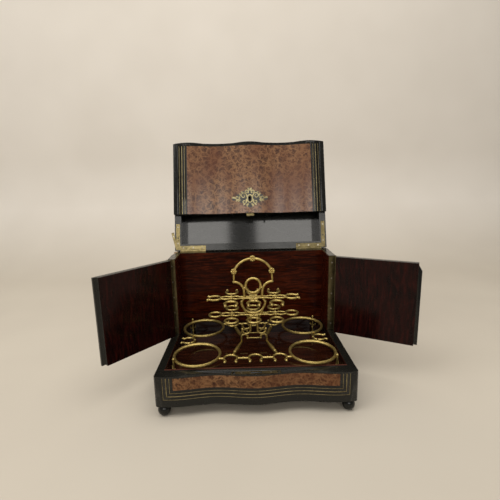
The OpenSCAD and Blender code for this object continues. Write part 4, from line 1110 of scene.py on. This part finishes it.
def handle_strands(s):
    """One half of the handle: its run from crown to waist, its bowl and its leg."""
    crown = math.degrees(math.atan2(rosette_up - handle_up + crown_r, rosette_x))
    arch = arc_points((0, handle_up - crown_r), crown_r, 90, crown, 22)
    sweep = arc_points((waist_x + sweep_r, shoulder_up - sweep_r), sweep_r, 92, 180, 16)
    run = arch + [(rosette_x + 0.8 * MM, shoulder_up)] + sweep + [(waist_x - 0.8 * MM, 0.5 * MM), kink]
    bowl = arc_points((0, kink[1]), kink[0], 0, -90, 22)
    leg = [(kink[0] - 1.2 * MM, kink[1] - 6 * MM), (9.5 * MM, kink[1] - kink[0] - 11 * MM)]
    toe = arc_points((11.8 * MM, kink[1] - kink[0] - 11.5 * MM), 2.6 * MM, 170, 330, 9)
    return [[(s * x, z) for x, z in part] for part in (run, bowl, leg + toe)]


strands = [(upright(part, 0, upper_z), handle_r, False) for s in (-1, 1) for part in handle_strands(s)]
strands.append((upright(arc_points((0, loop_up), loop_r, 0, 354, 56), 0, upper_z), handle_r, True))
handle = wire_mesh(strands, 4)
for s in (-1, 1):
    add_ball(handle, (s * (rosette_x + 0.8 * MM), 0, upper_z + shoulder_up), bead_r)
    add_ball(handle, (s * kink[0], 0, upper_z + kink[1]), knot_r)
    add_ball(handle, (s * (waist_x - 1.2 * MM), 0, upper_z + loop_up - 4.5 * MM), bead_r)
add_ball(handle, (0, 0, upper_z + kink[1] - kink[0]), knot_r)
rack_piece("handle_wire", handle, "rack_handle")

# %% Rosettes
rosette_profile = (
    (0.0, 1.2), (0.16, 1.12), (0.26, 0.8), (0.34, 0.74), (0.46, 0.98), (0.7, 1.0), (0.88, 0.86), (1.0, 0.0))


def rosette_mesh(radius=6.2 * MM, thickness=3.0 * MM, petals=8, steps=48):
    """A flat flower in the XZ plane, the same on both faces: a boss, a groove and a ring of petals."""
    mesh = bmesh.new()
    for side in (-1, 1):
        rows = []
        for share, lift in rosette_profile:
            row = []
            for k in range(steps):
                a = 2 * math.pi * k / steps
                fold = (1 - abs(math.cos(petals * a / 2))) * min(1.0, 2.2 * share)
                r = radius * share * (1 - 0.12 * fold)
                y = side * thickness * lift * (1 - 0.25 * fold)
                row.append(mesh.verts.new((r * math.cos(a), y, r * math.sin(a))))
            rows.append(row)
        for inner, outer in zip(rows, rows[1:]):
            for k in range(steps):
                n = (k + 1) % steps
                mesh.faces.new((inner[k], inner[n], outer[n], outer[k]))
    bmesh.ops.remove_doubles(mesh, verts=mesh.verts, dist=touching)
    bmesh.ops.recalc_face_normals(mesh, faces=mesh.faces)
    return mesh


rosette = pattern_piece("rosette", rosette_mesh())
places = [((0, 0, upper_z + handle_up), (0, 0, 0))]
places += [((s * rosette_x, 0, upper_z + rosette_up), (0, 0, 0)) for s in (-1, 1)]
copies("handle_rosettes", rosette, places, gilt, "rack")

# %% [markdown]
# ## Legs of the rack
#
# The hoops stand clear of the tray on four slim legs. Each has a turned foot, a ball on top and a
# pair of small curls below the hoop.

# %% Rack legs
foot_gap = 0.3 * MM


def leg_mesh():
    """A leg that stands on the origin, with its curls in the XZ plane."""
    height = ring_z - floor_z - foot_gap
    mesh = wire_mesh([([(0, 0, 0.5 * MM), (0, 0, height + 4.5 * MM)], 1.7 * MM, False)])
    curls = []
    for s in (-1, 1):
        curl = arc_points((3.4 * MM, height - 11 * MM), 3.0 * MM, 150, 400, 20)
        curls.append((upright([(s * x, z) for x, z in curl], 0), lambda t: (1.2 - 0.5 * t) * MM, False))
    join_into(mesh, wire_mesh(curls))
    add_ball(mesh, (0, 0, height + 5.2 * MM), 2.4 * MM)
    add_ball(mesh, (0, 0, height * 0.42), 2.3 * MM)
    for z, r in ((0.9, 3.1), (2.4, 2.5)):
        add_ball(mesh, (0, 0, z * MM), r * MM)
    bmesh.ops.bisect_plane(mesh, geom=mesh.verts[:] + mesh.edges[:] + mesh.faces[:], dist=touching,
                           plane_co=(0, 0, 0), plane_no=(0, 0, -1), clear_outer=True)
    return mesh


leg = pattern_piece("rack leg", leg_mesh())
leg_d = ring_touch + 2 * MM
places = []
for s in (-1, 1):
    for row, lean in ((-1, 33), (1, 50)):
        a = math.radians(lean)
        x, y = s * (ring_x + leg_d * math.cos(a)), row * (ring_y + leg_d * math.sin(a))
        places.append(((x, y, floor_z + foot_gap), (0, 0, s * row * a + math.pi / 2)))
copies("rack_leg_set", leg, places, gilt, "rack", "rack_legs")

# %% [markdown]
# ## Screws
#
# The screws were cut by hand: a flat countersunk head, a slot that is a little off square to its
# neighbours, and a soft rim. One head is modelled, and copied with a different turn each time.

# %% Slotted screw
screw_r = 1.7 * MM


def screw_mesh(radius=screw_r, slot=0.5 * MM, deep=0.45 * MM, steps=28):
    """A screw head flush with z = 0, with a slot along X, on a short shank."""
    mesh = bmesh.new()
    bmesh.ops.create_cone(mesh, cap_ends=True, segments=steps, radius1=radius * 0.55, radius2=radius,
                          depth=1.2 * MM, matrix=Matrix.Translation((0, 0, -0.6 * MM)))
    for offset in (-slot / 2, slot / 2):
        bmesh.ops.bisect_plane(mesh, geom=mesh.verts[:] + mesh.edges[:] + mesh.faces[:], dist=1e-7,
                               plane_co=(0, offset, 0), plane_no=(0, 1, 0))
    top = [f for f in mesh.faces if f.normal.z > 0.9 and abs(f.calc_center_median().y) < slot / 2]
    sunk = bmesh.ops.extrude_face_region(mesh, geom=top)["geom"]
    bed = [v for v in sunk if isinstance(v, bmesh.types.BMVert)]
    bmesh.ops.translate(mesh, verts=bed, vec=(0, 0, -deep))
    bmesh.ops.delete(mesh, geom=top, context="FACES")
    bmesh.ops.create_cone(mesh, cap_ends=True, segments=12, radius1=0.3 * MM, radius2=0.75 * MM,
                          depth=4.6 * MM, matrix=Matrix.Translation((0, 0, -3.4 * MM)))
    return mesh


screw = pattern_piece("screw", screw_mesh())
print("screw has", len(screw.data.polygons), "faces")

# %% Where the screws sit
rim_depth = 0.1 * MM
leaf_y, leaf_top = 20 * MM, 218 * MM


def screw_places(name, facing):
    """The middle, turn and size of each screw head of a node, found from the node's own solids."""
    mesh = bmesh.new()
    mesh.from_mesh(frame["nodes"][name].data)
    bmesh.ops.remove_doubles(mesh, verts=mesh.verts, dist=touching)
    left = set(mesh.verts)
    places, sizes = [], []
    while left:
        island, front = set(), [left.pop()]
        while front:
            vert = front.pop()
            island.add(vert)
            for edge in vert.link_edges:
                other = edge.other_vert(vert)
                if other in left:
                    left.remove(other)
                    front.append(other)
        points = np.array([v.co for v in island])
        normal = facing(Vector(points.mean(0)))
        reach = points @ np.array(normal)
        rim = points[reach > reach.max() - rim_depth]
        head = Vector(rim.mean(0))
        sizes.append(float(np.linalg.norm(rim - rim.mean(0), axis=1).max()) / screw_r)
        twist = 0.9 * math.sin(1000 * head.x + 700 * head.z)
        turn = normal.to_track_quat("Z", "Y").to_matrix() @ Matrix.Rotation(twist, 3, "Z")
        places.append((tuple(head), tuple(turn.to_euler())))
    mesh.free()
    return places, sizes


def case_facing(place):
    """Screws in the tray and the back wall face up, and those of the strip hinges the front."""
    return Vector((0, -1, 0)) if place.y > leaf_y and place.z < leaf_top else Vector((0, 0, 1))


def turned_with(pose, direction):
    """Screws that faced one way in the closed chest, and turned with their board."""
    facing = (pose.to_3x3() @ Vector(direction)).normalized()
    return lambda place: facing


for name, facing in (
        ("case_screws", case_facing), ("lid_screws", turned_with(lid_pose, (0, 0, -1))),
        ("panel_screws", turned_with(panel_pose, (0, 0, 1))),
        ("left_door_screws", turned_with(left_pose, (0, 1, 0))),
        ("right_door_screws", turned_with(right_pose, (0, 1, 0)))):
    places, sizes = screw_places(name, facing)
    copies(f"slotted_{name}", screw, places, steel, body_of[name], name, slot="steel", sizes=sizes)

# %% [markdown]
# ## The inlaid shield round the keyhole
#
# A lozenge of black mastic is let into the burr, and brass foliage lies in it: scrolls that roll up
# to both sides, pointed leaves, and an oval plate round the keyhole. Each brass shape is a flat
# outline drawn in the plane of the panel and laid on its wave.

# %% Flat ornaments on the wave


def on_panel(x, z, proud):
    """A point of the closed panel's front, taken to where the folded panel is."""
    return panel_pose @ Vector((x, front_y(x) - proud, keyhole_z + z))


def ribbon(mesh, spine, widths, proud=0.05 * MM, deep=0.3 * MM):
    """A flat strip along (across, up) points, with a width at each."""
    points = [Vector(p) for p in spine]
    rails = []
    for i, point in enumerate(points):
        ahead = points[min(i + 1, len(points) - 1)] - points[max(i - 1, 0)]
        side = Vector((-ahead.y, ahead.x)).normalized() * widths[i] / 2
        rails.append((point + side, point - side))
    top = [[mesh.verts.new(on_panel(p.x, p.y, proud)) for p in pair] for pair in rails]
    bed = [[mesh.verts.new(on_panel(p.x, p.y, -deep)) for p in pair] for pair in rails]
    for i in range(len(points) - 1):
        mesh.faces.new((top[i][0], top[i][1], top[i + 1][1], top[i + 1][0]))
        for k in (0, 1):
            mesh.faces.new((top[i][k], top[i + 1][k], bed[i + 1][k], bed[i][k]))
    for i in (0, -1):
        mesh.faces.new((top[i][0], top[i][1], bed[i][1], bed[i][0]))


def spiral(centre, start_r, end_r, start, sweep, steps=26):
    """A scroll that rolls in from start_r to end_r, angles in degrees."""
    points = []
    for i in range(steps):
        t = i / (steps - 1)
        r = start_r + (end_r - start_r) * t
        a = math.radians(start + sweep * t)
        points.append((centre[0] + r * math.cos(a), centre[1] + r * math.sin(a)))
    return points


def leaf(root, angle, length, width, steps=9):
    """A pointed leaf's spine and widths."""
    a = math.radians(angle)
    bend = 0.18 * length
    points, widths = [], []
    for i in range(steps):
        t = i / (steps - 1)
        sway = bend * math.sin(math.pi * t)
        points.append((root[0] + length * t * math.cos(a) - sway * math.sin(a),
                       root[1] + length * t * math.sin(a) + sway * math.cos(a)))
        widths.append(width * math.sin(math.pi * min(0.97, 0.12 + t * 0.86)) + 0.05 * MM)
    return points, widths


def taper(points, thick, thin):
    """Widths that shrink evenly from thick to thin."""
    return [thick + (thin - thick) * i / (len(points) - 1) for i in range(len(points))]


print("ornaments ready")

# %% Shield
# Millimetres and degrees, for the right half: a scroll's middle, outer and inner radius, start and
# sweep; a leaf's root, angle, length and width.
scrolls = [
    ((13.5, 4.5), 7.2, 1.6, 200, -470), ((27.0, 0.5), 5.4, 1.3, 150, 430),
    ((12.0, -8.6), 5.2, 1.3, 130, 420), ((7.2, 13.0), 4.4, 1.1, 230, -400)]
leaves = [
    ((31.5, -1.0), 8, 8.0, 4.0), ((20.5, 4.0), 62, 6.5, 3.8), ((20.0, -4.0), -48, 7.0, 3.6),
    ((2.0, 14.5), 68, 7.5, 4.0), ((3.0, -13.0), -66, 8.0, 4.0), ((8.5, -3.4), 190, 4.0, 2.4),
    ((15.5, 10.5), 30, 4.5, 3.0), ((26.0, -6.0), -20, 5.0, 2.8), ((10.0, -14.0), -35, 5.0, 2.8)]
foliage = bmesh.new()
for s in (-1, 1):
    for (cx, cz), start_r, end_r, start, sweep in scrolls:
        spine = [(s * x, z) for x, z in spiral((cx * MM, cz * MM), start_r * MM, end_r * MM, start, sweep)]
        ribbon(foliage, spine, taper(spine, 2.4 * MM, 1.2 * MM))
    for root, angle, length, width in leaves:
        spine, widths = leaf((root[0] * MM, root[1] * MM), angle, length * MM, width * MM)
        ribbon(foliage, [(s * x, z) for x, z in spine], widths)
oval_w, oval_h, oval_z, oval_width = 5.6 * MM, 8.4 * MM, -2 * MM, 2.2 * MM
oval = [(oval_w * math.cos(a), oval_z + oval_h * math.sin(a)) for a in np.linspace(0, 2 * math.pi, 41)]
ribbon(foliage, oval, [oval_width] * len(oval))
bmesh.ops.recalc_face_normals(foliage, faces=foliage.faces)
shield = finished("shield_foliage", foliage, shield_brass, "panel", smooth=30)
print("shield has", len(shield.data.polygons), "faces")

# %% [markdown]
# ## Floor, light and background
#
# The chest stands on a plain pale sheet that curves up behind it. A wide ceiling lamp, a tall window
# on the left and a pale sky light it evenly, so that a colour renders about as it is written. Two
# window panes stand behind the camera with a dark gap between them, because the polished lid and
# panel mirror them as two bright fields.

# %% Sheet
sheet = bmesh.new()
reach, back_at, bend_r, height = 3.0, 1.2, 0.5, 2.6
bend = [(back_at - bend_r + bend_r * math.sin(a), bend_r - bend_r * math.cos(a))
        for a in np.linspace(0, math.pi / 2, 20)]
profile = [(-reach, 0.0), *bend, (back_at, height)]
rows = [[sheet.verts.new((x, y, z)) for y, z in profile] for x in (-reach, reach)]
for i in range(len(profile) - 1):
    sheet.faces.new((rows[0][i], rows[1][i], rows[1][i + 1], rows[0][i + 1]))
data = bpy.data.meshes.new("paper_sheet")
sheet.to_mesh(data)
sheet.free()
data.polygons.foreach_set("use_smooth", [True] * len(data.polygons))
paper = bpy.data.objects.new("paper_sheet", data)
bpy.context.scene.collection.objects.link(paper)
material, tree, shader, place = new_finish("paper", Roughness=0.9, IOR=1.3)
fibre = noise(tree, place, 3.0, 2.0)
upright_part = add(tree, "ShaderNodeSeparateXYZ", outlet="Z", Vector=place)
wall_colour = ramp(tree, fibre, (0.3, (0.67, 0.62, 0.55)), (0.7, (0.71, 0.66, 0.59)))
floor_colour = ramp(tree, fibre, (0.3, (0.50, 0.45, 0.375)), (0.7, (0.53, 0.48, 0.40)))
colour = blend(tree, ramp(tree, calc(tree, "MULTIPLY", upright_part, 2.0), (0.0, 0.0), (0.5, 1.0)),
               floor_colour, wall_colour)
finish_with(tree, shader, colour)
dress(paper, material)
print("paper laid")

# %% Lamps and sky


def lamp(name, place, target, size, power, colour):
    """A flat soft lamp that faces target, with its power in watts."""
    data = bpy.data.lights.new(name, "AREA")
    data.shape = "RECTANGLE"
    data.size, data.size_y = size
    data.energy = power
    data.color = colour
    made = bpy.data.objects.new(name, data)
    made.location = place
    made.rotation_euler = (Vector(target) - Vector(place)).to_track_quat("-Z", "Y").to_euler()
    bpy.context.scene.collection.objects.link(made)


lamp("ceiling", (0.1, -0.3, 2.3), (0, 0.1, 0.1), (2.6, 2.2), 44, (1.0, 0.975, 0.945))
lamp("tall window", (-1.7, -0.9, 2.0), (0, 0, 0.15), (1.4, 1.4), 24, (1.0, 0.98, 0.95))
pane_y, pane_z, pane_h = -1.9, 1.12, 0.76
for name, x, width, power in (("left pane", -0.448, 0.604, 5.8), ("right pane", 0.419, 0.66, 6.2)):
    lamp(name, (x, pane_y, pane_z), (x, 0, pane_z), (width, pane_h), power, (1.0, 0.965, 0.91))
world = bpy.data.worlds.new("sky")
world.use_nodes = True
sky = world.node_tree.nodes["Background"].inputs
sky["Color"].default_value = (0.80, 0.78, 0.74, 1)
sky["Strength"].default_value = 0.3
bpy.context.scene.world = world
bpy.context.scene.view_settings.view_transform = "Standard"
print("lit")
